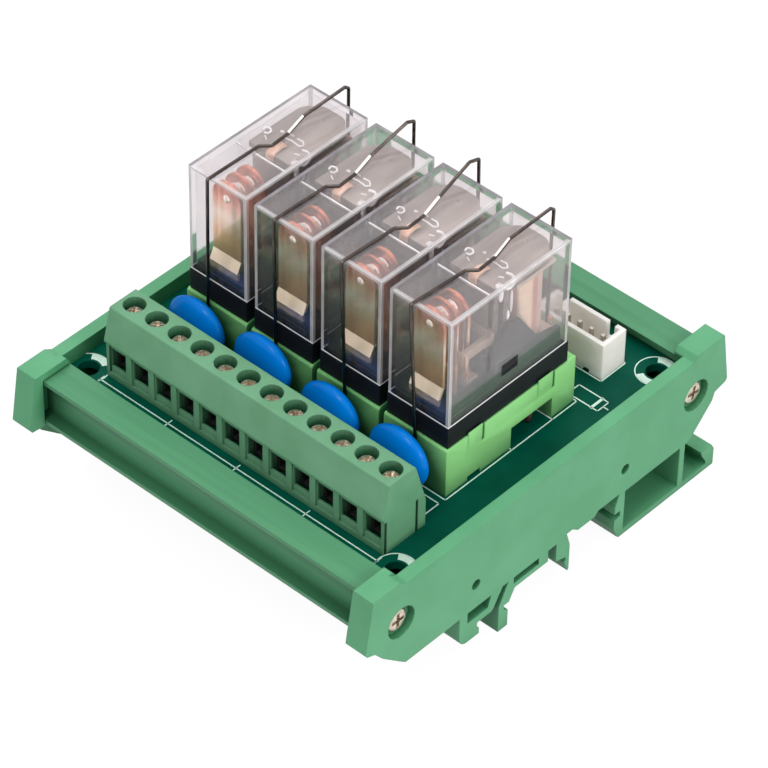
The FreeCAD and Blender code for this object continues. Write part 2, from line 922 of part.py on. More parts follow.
def make_terminal_screws():
    screws = []
    for x in pole_positions:
        spot = (x, terminal_screw_y)
        head_top = terminal_shelf + terminal_screw_head_height
        head = many_sided(terminal_screw_head_radius, (*spot, terminal_shelf), (*spot, head_top), small_sides)
        tip = tongue_top + clamp_clearance
        shank = many_sided(terminal_screw_radius, (*spot, tip), (*spot, terminal_shelf), thin_sides)
        screws.append(moved(joined([head, shank]), 0, 0, board_top))
    return Part.makeCompound(screws)


def make_terminal_pins():
    """Contact tongues that reach into the cages, each with its solder pin."""
    pins = []
    tongue_front = terminal_screw_y - clamp_depth / 2 + tongue_overlap
    leg_rear_face = terminal_pin_y() + terminal_pin_thickness / 2
    for x in pole_positions:
        tongue_heights = (tongue_top - tongue_thickness, tongue_top)
        tongue = span_box(centred(x, tongue_width), (tongue_front, leg_rear_face), tongue_heights)
        leg_range = centred(terminal_pin_y(), terminal_pin_thickness)
        leg = span_box(centred(x, terminal_pin_width), leg_range, (pin_end, tongue_top))
        pins.append(moved(joined([tongue, leg]), 0, 0, board_top))
    return Part.makeCompound(pins)


# Varistors

def make_varistor(x, height):
    """Coated disc, thicker in the middle, standing square to Y."""
    rim = varistor_rim_thickness / 2
    half = varistor_thickness / 2
    flat = varistor_flat_radius
    profile = [(flat, -half), (varistor_radius, -rim), (varistor_radius, rim), (flat, half)]
    along = FreeCAD.Vector(0, 1, 0)
    rings = [ring_points(radius, along * y, along, wide_sides) for radius, y in profile]
    return moved(skinned(rings), x, varistor_y, board_top + height)


def make_varistor_leads():
    """Eight straight leads that end at the coated discs' lower edge."""
    leads = []
    for x, height in varistor_places():
        for side in (-1, 1):
            spot = (x + side * varistor_lead_pitch / 2, varistor_y)
            inner_edge = varistor_lead_pitch / 2 - varistor_lead_radius
            seat = height - math.sqrt(varistor_radius ** 2 - inner_edge ** 2)
            lead = many_sided(varistor_lead_radius, (*spot, pin_end), (*spot, seat), thin_sides)
            leads.append(moved(lead, 0, 0, board_top))
    return Part.makeCompound(leads)


# Relay sockets

def fork_half(thickness):
    """Half of the outer size of a spring fork round a pin."""
    return thickness / 2 + spring_gap + spring_thickness


def make_socket(centre):
    """Plug-in socket with contact chambers, a tunnel, foot notches and four latch tabs."""
    half = socket_width / 2
    body = span_box((-half, half), (socket_front, socket_rear), (0, socket_height))
    across = (-half - 1, half + 1)
    cutters = [
        span_box(across, (socket_tunnel_front, socket_tunnel_rear), (-1, socket_tunnel_height)),
        span_box(across, (socket_notch_front, socket_notch_rear), (-1, socket_notch_height)),
    ]
    tabs = []
    latch_inner = relay_base_width / 2 + chamber_clearance
    for start, end in zip(latch_starts, latch_ends):
        for side in (-1, 1):
            outline = [
                (side * (half - latch_thickness), latch_root),
                (side * (half - latch_thickness), socket_height),
                (side * latch_inner, socket_height),
                (side * (latch_inner + latch_bulge), socket_height + latch_rise),
                (side * (half + latch_bulge), socket_height + latch_rise),
                (side * (half + latch_bulge), latch_root + 2 * latch_rise),
                (side * half, latch_root),
            ]
            tabs.append(upright_prism(outline, (start, end)))
            slot_range = sorted((side * (half + 1), side * (half - latch_thickness)))
            slot_height = (latch_root, socket_height + 1)
            cutters.append(span_box(slot_range, (end, end + latch_slot), slot_height))
    for x, y in blade_pin_places() + coil_pin_places():
        wide = blade_pin_width if x == 0 else coil_pin_side
        thick = blade_thickness if x == 0 else coil_pin_side
        x_range = centred(x, wide + 2 * chamber_clearance)
        y_range = centred(y, 2 * (fork_half(thick) + chamber_clearance))
        cutters.append(span_box(x_range, y_range, (-1, socket_height + 1)))
    hole_radius = clip_wire_radius + clip_gap
    for face, inward, x in ((socket_front, 1, clip_front_x), (socket_rear, -1, clip_rear_x)):
        hole_floor = face + inward * clip_hole_depth
        hole_ends = (x, face - inward, clip_hole_height), (x, hole_floor, clip_hole_height)
        cutters.append(many_sided_hole(hole_radius, *hole_ends, thin_sides))
    body = body.cut(Part.makeCompound(cutters))
    return moved(joined([body] + tabs), centre, 0, board_top)


def make_socket_contacts():
    """Spring forks that grip the relay pins, each with a tail through the board."""
    forks = []
    for centre in relay_positions:
        for x, y in blade_pin_places() + coil_pin_places():
            wide = blade_pin_width if x == 0 else coil_pin_side
            thick = blade_thickness if x == 0 else coil_pin_side
            x_range = centred(x, wide)
            outer = span_box(x_range, centred(y, 2 * fork_half(thick)), (spring_bottom, spring_top))
            slot_range = centred(y, thick + 2 * spring_gap)
            slot_bottom = spring_bottom + spring_base_thickness
            slot = span_box((x - wide, x + wide), slot_range, (slot_bottom, spring_top + 1))
            tail_range = centred(x, min(tail_width, wide))
            tail = span_box(tail_range, centred(y, tail_thickness), (pin_end, slot_bottom))
            forks.append(moved(joined([outer.cut(slot), tail]), centre, 0, board_top))
    return Part.makeCompound(forks)


# Relays

def make_relay_base(centre):
    """Base band, plinth inside the cover, two side gussets with latch lugs, and slots for the pins."""
    half = relay_base_width / 2
    band = span_box((-half, half), (relay_base_front, relay_base_rear), (socket_height, relay_base_top))
    plinth_half = plinth_width / 2
    plinth_depth = (cover_inner_front + cover_fit, cover_inner_rear - cover_fit)
    plinth = span_box((-plinth_half, plinth_half), plinth_depth, (relay_base_top, plinth_top))
    tail_y = plinth_depth[1] - gusset_tail_gap
    gusset_outline = [
        (gusset_foot_y, plinth_top),
        (gusset_shoulder_y, gusset_shoulder_height),
        (gusset_peak_front_y, gusset_peak_front_height),
        (gusset_peak_rear_y, gusset_peak_rear_height),
        (gusset_slope_y, gusset_slope_height),
        (tail_y, gusset_tail_height),
        (tail_y, plinth_top),
    ]
    gusset = side_prism(gusset_outline, (plinth_half - gusset_thickness, plinth_half))
    lug_low = cover_window_bottom + lug_clearance
    lug_root = plinth_half - gusset_thickness / 2
    lug_outline = [
        (lug_root, lug_low),
        (plinth_half + lug_depth, lug_low),
        (plinth_half + lug_depth, lug_low + lug_edge),
        (plinth_half, cover_window_top - lug_clearance),
        (lug_root, cover_window_top - lug_clearance),
    ]
    lug = upright_prism(lug_outline, (cover_window_front + lug_clearance, cover_window_rear - lug_clearance))
    pieces = [band, plinth, gusset, mirrored(gusset, 1), lug, mirrored(lug, 1)]
    base = joined(pieces)
    cutters = []
    for x, y in blade_pin_places() + coil_pin_places():
        wide = blade_pin_width if x == 0 else coil_pin_side
        thick = blade_thickness if x == 0 else coil_pin_side
        x_range = centred(x, wide + 2 * cover_fit)
        y_range = centred(y, thick + 2 * cover_fit)
        cutters.append(span_box(x_range, y_range, (socket_height - 1, plinth_top + 1)))
    return moved(base.cut(Part.makeCompound(cutters)), centre, 0, board_top)


def make_relay_cover(centre):
    """Clear shell with latch windows, a windowed partition and a raised pad on each side wall."""
    half = cover_width / 2
    inner_half = cover_inner_width / 2
    shell = span_box((-half, half), (cover_front, cover_rear), (relay_base_top, cover_top))
    roof = cover_top - cover_wall
    inside = (cover_inner_front, cover_inner_rear)
    shell = shell.cut(span_box((-inner_half, inner_half), inside, (relay_base_top - 1, roof)))
    window_y = (cover_window_front, cover_window_rear)
    window_z = (cover_window_bottom, cover_window_top)
    shell = shell.cut(span_box((-half - 1, half + 1), window_y, window_z))
    partition_y_range = centred(partition_y, partition_thickness)
    partition = span_box((-inner_half, inner_half), partition_y_range, (partition_bottom, roof))
    opening_z = (partition_window_bottom, partition_window_top)
    partition = partition.cut(span_box(centred(0, partition_window_width), partition_y_range, opening_z))
    pad = side_prism([
        (pad_front, roof),
        (pad_front, pad_bottom),
        (pad_bend_y, pad_bottom),
        (partition_y, pad_rear_bottom),
        (partition_y, roof),
    ], (inner_half - pad_depth, inner_half))
    return moved(joined([shell, partition, pad, mirrored(pad, 1)]), centre, 0, board_top)


def make_coil_bobbin(centre):
    """Bobbin with two flanges on a barrel."""
    flange_x = centred(0, bobbin_width)
    flange_y = centred(coil_y, bobbin_depth)
    low = span_box(flange_x, flange_y, (bobbin_bottom, bobbin_bottom + bobbin_flange))
    high = span_box(flange_x, flange_y, (bobbin_top - bobbin_flange, bobbin_top))
    barrel_ends = (0, coil_y, bobbin_bottom), (0, coil_y, bobbin_top)
    barrel = many_sided(bobbin_barrel_radius, *barrel_ends, hidden_sides)
    bore_ends = (0, coil_y, bobbin_bottom - 1), (0, coil_y, bobbin_top + 1)
    bore = many_sided_hole(core_radius + coil_clearance, *bore_ends, hidden_sides)
    return moved(joined([low, high, barrel]).cut(bore), centre, 0, board_top)


def make_coil_windings():
    windings = []
    ends = ((0, coil_y, bobbin_bottom + bobbin_flange), (0, coil_y, bobbin_top - bobbin_flange))
    inside = many_sided_hole(bobbin_barrel_radius + coil_clearance, *ends, hidden_sides)
    winding = many_sided(winding_radius, *ends, small_sides).cut(inside)
    for centre in relay_positions:
        windings.append(moved(winding, centre, 0, board_top))
    return Part.makeCompound(windings)


def make_coil_cores():
    """Iron cores, each with a pole head over the bobbin."""
    cores = []
    shank = many_sided(core_radius, (0, coil_y, plinth_top), (0, coil_y, bobbin_top), hidden_sides)
    head_top = bobbin_top + core_head_thickness
    head = many_sided(core_head_radius, (0, coil_y, bobbin_top), (0, coil_y, head_top), small_sides)
    core = joined([shank, head])
    for centre in relay_positions:
        cores.append(moved(core, centre, 0, board_top))
    return Part.makeCompound(cores)


def make_yoke(centre):
    """L-shaped yoke: a foot under the coil and a leg in front of it."""
    outline = [
        (yoke_front, plinth_top + yoke_corner_cut),
        (yoke_front + yoke_corner_cut, plinth_top),
        (yoke_foot_rear, plinth_top),
        (yoke_foot_rear, bobbin_bottom),
        (yoke_front + yoke_thickness, bobbin_bottom),
        (yoke_front + yoke_thickness, yoke_top),
        (yoke_front, yoke_top),
    ]
    yoke = side_prism(outline, centred(0, yoke_width))
    bore_ends = (0, coil_y, plinth_top - 1), (0, coil_y, bobbin_bottom + 1)
    bore = many_sided_hole(core_radius + coil_clearance, *bore_ends, hidden_sides)
    return moved(yoke.cut(bore), centre, 0, board_top)


def make_armature(centre):
    """Bent armature: a plate over the coil and a leg that hangs in front of the yoke."""
    half = armature_width / 2
    plate = flat_prism([
        (-half, armature_front),
        (half, armature_front),
        (half, armature_rear - armature_corner_cut),
        (half - armature_corner_cut, armature_rear),
        (-half + armature_corner_cut, armature_rear),
        (-half, armature_rear - armature_corner_cut),
    ], (armature_bottom, armature_top))
    leg_range = (armature_front, armature_front + armature_thickness)
    leg = span_box(centred(0, armature_leg_width), leg_range, (armature_leg_bottom, armature_top))
    return moved(joined([plate, leg]), centre, 0, board_top)


def make_actuator_card(centre):
    """Moulded fork on the armature's leg that pushes the moving contact's shoulders."""
    half = card_width / 2
    prong_inner = half - card_prong_width
    bar_front = armature_front - card_bar_depth
    outline = [
        (-half, armature_front),
        (-half, card_prong_end),
        (-prong_inner, card_prong_end),
        (-prong_inner, bar_front),
        (prong_inner, bar_front),
        (prong_inner, card_prong_end),
        (half, card_prong_end),
        (half, armature_front),
    ]
    return moved(flat_prism(outline, (card_bottom, card_top)), centre, 0, board_top)


def contact_blade(front, thickness, bottom):
    """Upright blade with a round crown."""
    half = blade_width / 2
    y_range = (front, front + thickness)
    strip = span_box((-half, half), y_range, (bottom, blade_crown_height))
    crown_ends = (0, front, blade_crown_height), (0, front + thickness, blade_crown_height)
    crown = many_sided(half, *crown_ends, wide_sides)
    return [strip, crown]


def contact_rivet(front, rear):
    ends = (0, front, blade_crown_height), (0, rear, blade_crown_height)
    return many_sided(rivet_radius, *ends, hidden_sides)


def make_moving_contact(centre):
    """Spring blade with shoulders and a contact rivet on both faces."""
    rear = moving_blade_front + moving_blade_thickness
    pieces = contact_blade(moving_blade_front, moving_blade_thickness, moving_blade_bottom)
    shoulder_x = centred(0, shoulder_width)
    shoulders = span_box(shoulder_x, (moving_blade_front, rear), (shoulder_bottom, shoulder_top))
    rivet = contact_rivet(moving_rivet_front, moving_rivet_rear)
    return moved(joined(pieces + [shoulders, rivet]), centre, 0, board_top)


def make_relay_terminals(centre):
    """Open contact, closed contact, moving contact's pin and two coil pins."""
    half = blade_width / 2
    pin_half = blade_pin_width / 2
    open_rear = open_blade_front + fixed_blade_thickness
    open_pin = centred(open_pin_y, blade_thickness)
    open_blade = side_prism([
        (open_pin[0], plinth_top),
        (open_pin[1], plinth_top),
        (open_rear, open_blade_bend),
        (open_rear, blade_crown_height),
        (open_blade_front, blade_crown_height),
        (open_blade_front, open_blade_bend),
        (open_pin[0], plinth_top + blade_heel),
    ], (-half, half))
    open_crown = contact_blade(open_blade_front, fixed_blade_thickness, open_blade_bend)
    open_rivet = contact_rivet(open_blade_front, open_rivet_face)
    open_leg = span_box((-pin_half, pin_half), open_pin, (pin_tip, plinth_top + leg_overlap))
    closed_rear = closed_blade_front + fixed_blade_thickness
    closed_pin = centred(closed_pin_y, blade_thickness)
    closed_foot_top = closed_foot_height + fixed_blade_thickness
    closed_blade = contact_blade(closed_blade_front, fixed_blade_thickness, closed_foot_height)
    closed_foot_depth = (closed_blade_front, closed_pin[1])
    closed_foot = span_box((-half, half), closed_foot_depth, (closed_foot_height, closed_foot_top))
    closed_rivet = contact_rivet(closed_rivet_face, closed_rear)
    closed_leg = span_box((-pin_half, pin_half), closed_pin, (pin_tip, closed_foot_top))
    moving_pin = centred(moving_pin_y, blade_thickness)
    moving_leg = span_box((-pin_half, pin_half), moving_pin, (pin_tip, moving_tab_top))
    solids = [
        joined(open_crown + [open_blade, open_rivet, open_leg]),
        joined(closed_blade + [closed_foot, closed_rivet, closed_leg]),
        moving_leg,
    ]
    for x, y in coil_pin_places():
        solids.append(span_box(centred(x, coil_pin_side), centred(y, coil_pin_side), (pin_tip, coil_pin_top)))
    return moved(Part.makeCompound(solids), centre, 0, board_top)


def make_wire_clip(centre):
    """Bent spring wire from the socket's front hole over the cover to the rear hole."""
    front = socket_front - clip_wire_radius - clip_gap
    rear = socket_rear + clip_wire_radius + clip_gap
    over = cover_top + clip_wire_radius + clip_gap
    peak = cover_top + clip_peak_rise
    points = [
        (clip_front_x, socket_front + clip_hole_depth - clip_gap, clip_hole_height),
        (clip_front_x, front, clip_hole_height),
        (clip_front_x, front, over),
        (clip_front_x, clip_front_bend_y, over),
        (clip_first_kink_x, clip_first_kink_y, over),
        (clip_second_kink_x, clip_second_kink_y, over),
        (clip_third_kink_x, clip_third_kink_y, over),
        (clip_peak_x, clip_peak_y, peak),
        (clip_peak_x, rear, peak - clip_heel_drop),
        (clip_rear_x, rear, clip_hole_height),
        (clip_rear_x, socket_rear - clip_hole_depth + clip_gap, clip_hole_height),
    ]
    radii = [0, 0, clip_bend_radius, 0, 0, 0, 0, 0, 0, 0, 0]
    return moved(bent_wire(points, radii, clip_wire_radius, clip_sides), centre, 0, board_top)


# Small parts on the board

def make_diodes():
    """Upright diodes, each with its upper lead bent down beside the body."""
    diodes = []
    for centre in relay_positions:
        x = diode_x
        side = diode_x - diode_lead_pitch
        body_ends = (x, diode_y, diode_body_bottom), (x, diode_y, diode_body_top)
        body = many_sided(diode_body_radius, *body_ends, hidden_sides)
        points = [
            (x, diode_y, pin_end),
            (x, diode_y, diode_bend_height + diode_lead_pitch / 2),
            (side, diode_y, diode_bend_height + diode_lead_pitch / 2),
            (side, diode_y, pin_end),
        ]
        lead = bent_wire(points, [0, 0, 0, 0], diode_lead_radius, thin_sides)
        diodes.append(moved(joined([body, lead]), centre, 0, board_top))
    return Part.makeCompound(diodes)


def make_header_housing():
    """Open header shell with end notches in its rear wall and gaps under its front wall."""
    half = (header_pin_count - 1) / 2 * header_pitch + header_overhang
    rear = header_front + header_depth
    above = header_height + 1
    x_range = (header_centre_x - half, header_centre_x + half)
    shell = span_box(x_range, (header_front, rear), (0, header_height))
    inside_x = (x_range[0] + header_wall, x_range[1] - header_wall)
    inside_y = (header_front + header_wall, rear - header_wall)
    shell = shell.cut(span_box(inside_x, inside_y, (header_floor, above)))
    for side in (-1, 1):
        notch_inner = header_centre_x + side * (half - header_notch_start)
        notch = sorted((notch_inner, notch_inner + side * header_notch_width))
        shell = shell.cut(span_box(notch, (inside_y[1], rear + 1), (header_notch_bottom, above)))
        gap = centred(notch_inner, header_foot_gap)
        shell = shell.cut(span_box(gap, (header_front - 1, rear + 1), (-1, header_foot_height)))
    for x in header_pin_places():
        side = header_pin_side + 2 * cover_fit
        shell = shell.cut(span_box(centred(x, side), centred(header_pin_y, side), (-1, header_floor + 1)))
    return moved(shell, 0, 0, board_top)


def make_header_pins():
    pins = []
    for x in header_pin_places():
        pin_y = centred(header_pin_y, header_pin_side)
        pin = span_box(centred(x, header_pin_side), pin_y, (pin_end, header_pin_top))
        pins.append(moved(pin, 0, 0, board_top))
    return Part.makeCompound(pins)


def all_pieces():
    """Every piece by its node name."""
    bracket = make_bracket()
    pieces = {
        "carrier_tray": make_carrier_tray(),
        "bracket_right": bracket,
        "bracket_left": mirrored(bracket, 1),
        "bracket_screws": make_bracket_screws(),
        "circuit_board": make_circuit_board(),
        "terminal_housing": make_terminal_housing(),
        "terminal_screws": make_terminal_screws(),
        "terminal_clamps": make_terminal_clamps(),
        "terminal_pins": make_terminal_pins(),
        "varistor_leads": make_varistor_leads(),
        "socket_contacts": make_socket_contacts(),
        "coil_cores": make_coil_cores(),
        "coil_windings": make_coil_windings(),
        "diodes": make_diodes(),
        "header_housing": make_header_housing(),
        "header_pins": make_header_pins(),
    }
    for number, (x, height) in enumerate(varistor_places(), 1):
        pieces["varistor_%d" % number] = make_varistor(x, height)
    for number, centre in enumerate(relay_positions, 1):
        pieces["socket_%d" % number] = make_socket(centre)
        pieces["relay_base_%d" % number] = make_relay_base(centre)
        pieces["relay_cover_%d" % number] = make_relay_cover(centre)
        pieces["coil_bobbin_%d" % number] = make_coil_bobbin(centre)
        pieces["yoke_%d" % number] = make_yoke(centre)
        pieces["armature_%d" % number] = make_armature(centre)
        pieces["actuator_card_%d" % number] = make_actuator_card(centre)
        pieces["moving_contact_%d" % number] = make_moving_contact(centre)
        pieces["relay_terminals_%d" % number] = make_relay_terminals(centre)
        pieces["wire_clip_%d" % number] = make_wire_clip(centre)
    return pieces


os.makedirs("parts", exist_ok=True)
for name, shape in all_pieces().items():
    shape.exportStep("parts/%s.step" % name)
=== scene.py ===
import math

import bmesh
import bpy
from mathutils import Matrix, Vector


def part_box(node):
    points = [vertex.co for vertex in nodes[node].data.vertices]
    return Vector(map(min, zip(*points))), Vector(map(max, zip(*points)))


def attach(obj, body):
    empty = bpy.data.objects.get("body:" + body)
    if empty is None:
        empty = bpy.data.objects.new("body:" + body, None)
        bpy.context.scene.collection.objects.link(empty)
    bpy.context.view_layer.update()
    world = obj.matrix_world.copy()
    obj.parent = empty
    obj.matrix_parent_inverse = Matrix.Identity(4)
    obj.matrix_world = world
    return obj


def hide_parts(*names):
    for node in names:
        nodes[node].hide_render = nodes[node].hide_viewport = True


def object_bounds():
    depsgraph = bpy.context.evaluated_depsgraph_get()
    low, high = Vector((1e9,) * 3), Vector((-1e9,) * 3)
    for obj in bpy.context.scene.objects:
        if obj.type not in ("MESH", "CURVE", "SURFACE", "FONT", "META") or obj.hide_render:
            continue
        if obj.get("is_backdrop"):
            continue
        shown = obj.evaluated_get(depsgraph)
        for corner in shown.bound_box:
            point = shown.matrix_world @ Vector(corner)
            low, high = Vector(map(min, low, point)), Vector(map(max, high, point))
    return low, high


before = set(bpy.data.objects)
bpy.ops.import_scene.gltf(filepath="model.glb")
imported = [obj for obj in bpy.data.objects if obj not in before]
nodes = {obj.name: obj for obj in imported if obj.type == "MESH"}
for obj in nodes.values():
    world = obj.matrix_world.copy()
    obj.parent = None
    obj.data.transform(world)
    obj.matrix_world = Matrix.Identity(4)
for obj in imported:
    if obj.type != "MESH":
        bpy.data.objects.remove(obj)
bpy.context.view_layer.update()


# Carrier tray: one extrusion of green PVC with a board groove and a side channel along each edge.
# It is sawn to length, and the die leaves faint draw lines along it.

def paint(red, green, blue):
    """Colour as it is seen, 0 to 255, in the numbers that a shader takes."""
    def channel(value):
        value /= 255
        return value / 12.92 if value <= 0.04045 else ((value + 0.055) / 1.055) ** 2.4
    return (channel(red), channel(green), channel(blue), 1.0)


def make_moulding():
    """Node group: patches of a second tone, uneven gloss, fine grain and softened edges."""
    patch_low, patch_high = 0.35, 0.65
    gloss_range = 0.16
    grain_height = 0.0001
    group = bpy.data.node_groups.new("moulding", "ShaderNodeTree")
    inputs = (
        ("Colour", "NodeSocketColor", (0.1, 0.4, 0.2, 1)),
        ("Second Colour", "NodeSocketColor", (0.1, 0.4, 0.2, 1)),
        ("Stretch", "NodeSocketVector", (1, 1, 1)),
        ("Patch Scale", "NodeSocketFloat", 60),
        ("Roughness", "NodeSocketFloat", 0.45),
        ("Grain Scale", "NodeSocketFloat", 2500),
        ("Grain Depth", "NodeSocketFloat", 0.1),
        ("Edge Radius", "NodeSocketFloat", 0.00025),
    )
    for name, kind, value in inputs:
        group.interface.new_socket(name, in_out="INPUT", socket_type=kind).default_value = value
    outputs = (
        ("Colour", "NodeSocketColor"),
        ("Roughness", "NodeSocketFloat"),
        ("Normal", "NodeSocketVector"),
    )
    for name, kind in outputs:
        group.interface.new_socket(name, in_out="OUTPUT", socket_type=kind)
    add, link = group.nodes.new, group.links.new
    given, result = add("NodeGroupInput").outputs, add("NodeGroupOutput").inputs
    place = add("ShaderNodeVectorMath")
    place.operation = "MULTIPLY"
    link(add("ShaderNodeTexCoord").outputs["Object"], place.inputs[0])
    link(given["Stretch"], place.inputs[1])
    patches = add("ShaderNodeTexNoise")
    patches.inputs["Detail"].default_value = 4
    link(place.outputs[0], patches.inputs["Vector"])
    link(given["Patch Scale"], patches.inputs["Scale"])
    blend = add("ShaderNodeMix")
    blend.data_type = "RGBA"
    share = add("ShaderNodeMapRange")
    share.inputs["From Min"].default_value = patch_low
    share.inputs["From Max"].default_value = patch_high
    link(patches.outputs["Fac"], share.inputs["Value"])
    link(share.outputs[0], blend.inputs["Factor"])
    link(given["Colour"], blend.inputs["A"])
    link(given["Second Colour"], blend.inputs["B"])
    link(blend.outputs["Result"], result["Colour"])
    gloss = add("ShaderNodeMath")
    gloss.operation = "MULTIPLY_ADD"
    gloss.inputs[1].default_value = gloss_range
    link(patches.outputs["Fac"], gloss.inputs[0])
    link(given["Roughness"], gloss.inputs[2])
    lower = add("ShaderNodeMath")
    lower.operation = "SUBTRACT"
    lower.inputs[1].default_value = gloss_range / 2
    link(gloss.outputs[0], lower.inputs[0])
    link(lower.outputs[0], result["Roughness"])
    grain = add("ShaderNodeTexNoise")
    link(place.outputs[0], grain.inputs["Vector"])
    link(given["Grain Scale"], grain.inputs["Scale"])
    edges = add("ShaderNodeBevel")
    edges.samples = 4
    link(given["Edge Radius"], edges.inputs["Radius"])
    relief = add("ShaderNodeBump")
    relief.inputs["Distance"].default_value = grain_height
    link(given["Grain Depth"], relief.inputs["Strength"])
    link(grain.outputs["Fac"], relief.inputs["Height"])
    link(edges.outputs["Normal"], relief.inputs["Normal"])
    link(relief.outputs["Normal"], result["Normal"])
    return group


moulding = make_moulding()


def surface(name, colour, second, metallic=0.0, specular=0.5, coat=0.0, **values):
    """Material with the moulding group's patches, grain and edges."""
    material = bpy.data.materials.new(name)
    material.use_nodes = True
    tree = material.node_tree
    shader = tree.nodes["Principled BSDF"]
    shader.inputs["Metallic"].default_value = metallic
    shader.inputs["Specular IOR Level"].default_value = specular
    shader.inputs["Coat Weight"].default_value = coat
    finish = tree.nodes.new("ShaderNodeGroup")
    finish.node_tree = moulding
    finish.inputs["Colour"].default_value = colour
    finish.inputs["Second Colour"].default_value = second
    for key, value in values.items():
        finish.inputs[key.replace("_", " ").title()].default_value = value
    tree.links.new(finish.outputs["Colour"], shader.inputs["Base Color"])
    tree.links.new(finish.outputs["Roughness"], shader.inputs["Roughness"])
    tree.links.new(finish.outputs["Normal"], shader.inputs["Normal"])
    return material


def multiply_colour(material, tint):
    """Multiplies the material's base colour by the colour on a socket."""
    tree = material.node_tree
    target = tree.nodes["Principled BSDF"].inputs["Base Color"]
    blend = tree.nodes.new("ShaderNodeMix")
    blend.data_type = "RGBA"
    blend.blend_type = "MULTIPLY"
    blend.inputs["Factor"].default_value = 1.0
    tree.links.new(target.links[0].from_socket, blend.inputs["A"])
    tree.links.new(tint, blend.inputs["B"])
    tree.links.new(blend.outputs["Result"], target)


def colour_ramp(tree, source, stops):
    """Ramp through colours at places from zero to one; returns its colour socket."""
    ramp = tree.nodes.new("ShaderNodeValToRGB")
    points = ramp.color_ramp.elements
    while len(points) < len(stops):
        points.new(0.5)
    for point, (place, colour) in zip(points, stops):
        point.position, point.color = place, colour
    tree.links.new(source, ramp.inputs[0])
    return ramp.outputs["Color"]


def shade_recess(material, reach, shade):
    """Paints shade into the colour where other surfaces stand close."""
    closed_in, open_out = 0.15, 0.75
    unshaded = (1, 1, 1, 1)
    tree = material.node_tree
    nearby = tree.nodes.new("ShaderNodeAmbientOcclusion")
    nearby.samples = 8
    nearby.inputs["Distance"].default_value = reach
    stops = ((closed_in, shade), (open_out, unshaded))
    multiply_colour(material, colour_ramp(tree, nearby.outputs["AO"], stops))


def dress(node, material):
    """Gives a material to every slot of a CAD node."""
    for slot in nodes[node].material_slots:
        slot.material = material


drawn_green = surface("drawn_green", paint(76, 137, 99), paint(69, 129, 92), specular=0.3,
                      stretch=(0.04, 1, 1), patch_scale=700, grain_scale=3000, grain_depth=0.12,
                      roughness=0.42)
shade_recess(drawn_green, 0.014, (0.18, 0.28, 0.24, 1))
dress("carrier_tray", drawn_green)


# End brackets: moulded nylon plates with rail catches and hoods over the tray's sawn ends.
# Two screws hold each one to the tray. The matt moulding is slightly bluer than the tray.

bracket_green = surface("bracket_green", paint(90, 158, 116), paint(84, 150, 109), specular=0.3,
                        patch_scale=90, grain_scale=5200, grain_depth=0.16, roughness=0.5)
shade_recess(bracket_green, 0.012, (0.25, 0.45, 0.38, 1))
for side in ("bracket_left", "bracket_right"):
    dress(side, bracket_green)


# Bracket screws: plated pan heads with a cross recess, each at the bottom of a round well.
# They cut their thread in the tray's screw channels.

def new_piece(name, shape, material, replaced=(), body="module", smooth_angle=None):
    """Finished mesh on its body, standing for the nodes that it replaces."""
    mesh = bpy.data.meshes.new(name)
    shape.to_mesh(mesh)
    shape.free()
    if smooth_angle is not None:
        mesh.shade_smooth()
        mesh.set_sharp_from_angle(angle=math.radians(smooth_angle))
    mesh.materials.append(material)
    made = bpy.data.objects.new(name, mesh)
    bpy.context.scene.collection.objects.link(made)
    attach(made, body)
    if replaced:
        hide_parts(*replaced)
    return made


def round_piece(profile, matrix, steps=32):
    """Closed round mesh from (radius, height) points that start and end on the axis."""
    shape = bmesh.new()
    verts = [shape.verts.new((radius, 0, height)) for radius, height in profile]
    edges = [shape.edges.new(pair) for pair in zip(verts, verts[1:])]
    bmesh.ops.spin(shape, geom=verts + edges, cent=(0, 0, 0), axis=(0, 0, 1), angle=2 * math.pi,
                   steps=steps, use_merge=True)
    bmesh.ops.remove_doubles(shape, verts=shape.verts, dist=1e-7)
    bmesh.ops.recalc_face_normals(shape, faces=shape.faces)
    bmesh.ops.transform(shape, matrix=matrix, verts=shape.verts)
    return shape


def block(shape, x_range, y_range, z_range):
    """Adds a box between two values on each axis and returns its corners."""
    spans = (x_range, y_range, z_range)
    middle = Vector([(low + high) / 2 for low, high in spans])
    size = Matrix.Diagonal([high - low for low, high in spans] + [1])
    return bmesh.ops.create_cube(shape, size=1, matrix=Matrix.Translation(middle) @ size)["verts"]


def carved(shape, cutter):
    """Takes one closed mesh out of another."""
    objects = []
    for each in (shape, cutter):
        mesh = bpy.data.meshes.new("stock")
        each.to_mesh(mesh)
        each.free()
        held = bpy.data.objects.new("stock", mesh)
        bpy.context.scene.collection.objects.link(held)
        objects.append(held)
    cut = objects[0].modifiers.new("cut", "BOOLEAN")
    cut.object = objects[1]
    cut.solver = "EXACT"
    bpy.context.view_layer.update()
    ready = objects[0].evaluated_get(bpy.context.evaluated_depsgraph_get())
    result = bmesh.new()
    result.from_mesh(ready.to_mesh())
    ready.to_mesh_clear()
    for held in objects:
        mesh = held.data
        bpy.data.objects.remove(held)
        bpy.data.meshes.remove(mesh)
    return result


def merged(shapes):
    """All meshes in one."""
    whole = bmesh.new()
    for shape in shapes:
        mesh = bpy.data.meshes.new("part")
        shape.to_mesh(mesh)
        shape.free()
        whole.from_mesh(mesh)
        bpy.data.meshes.remove(mesh)
    return whole


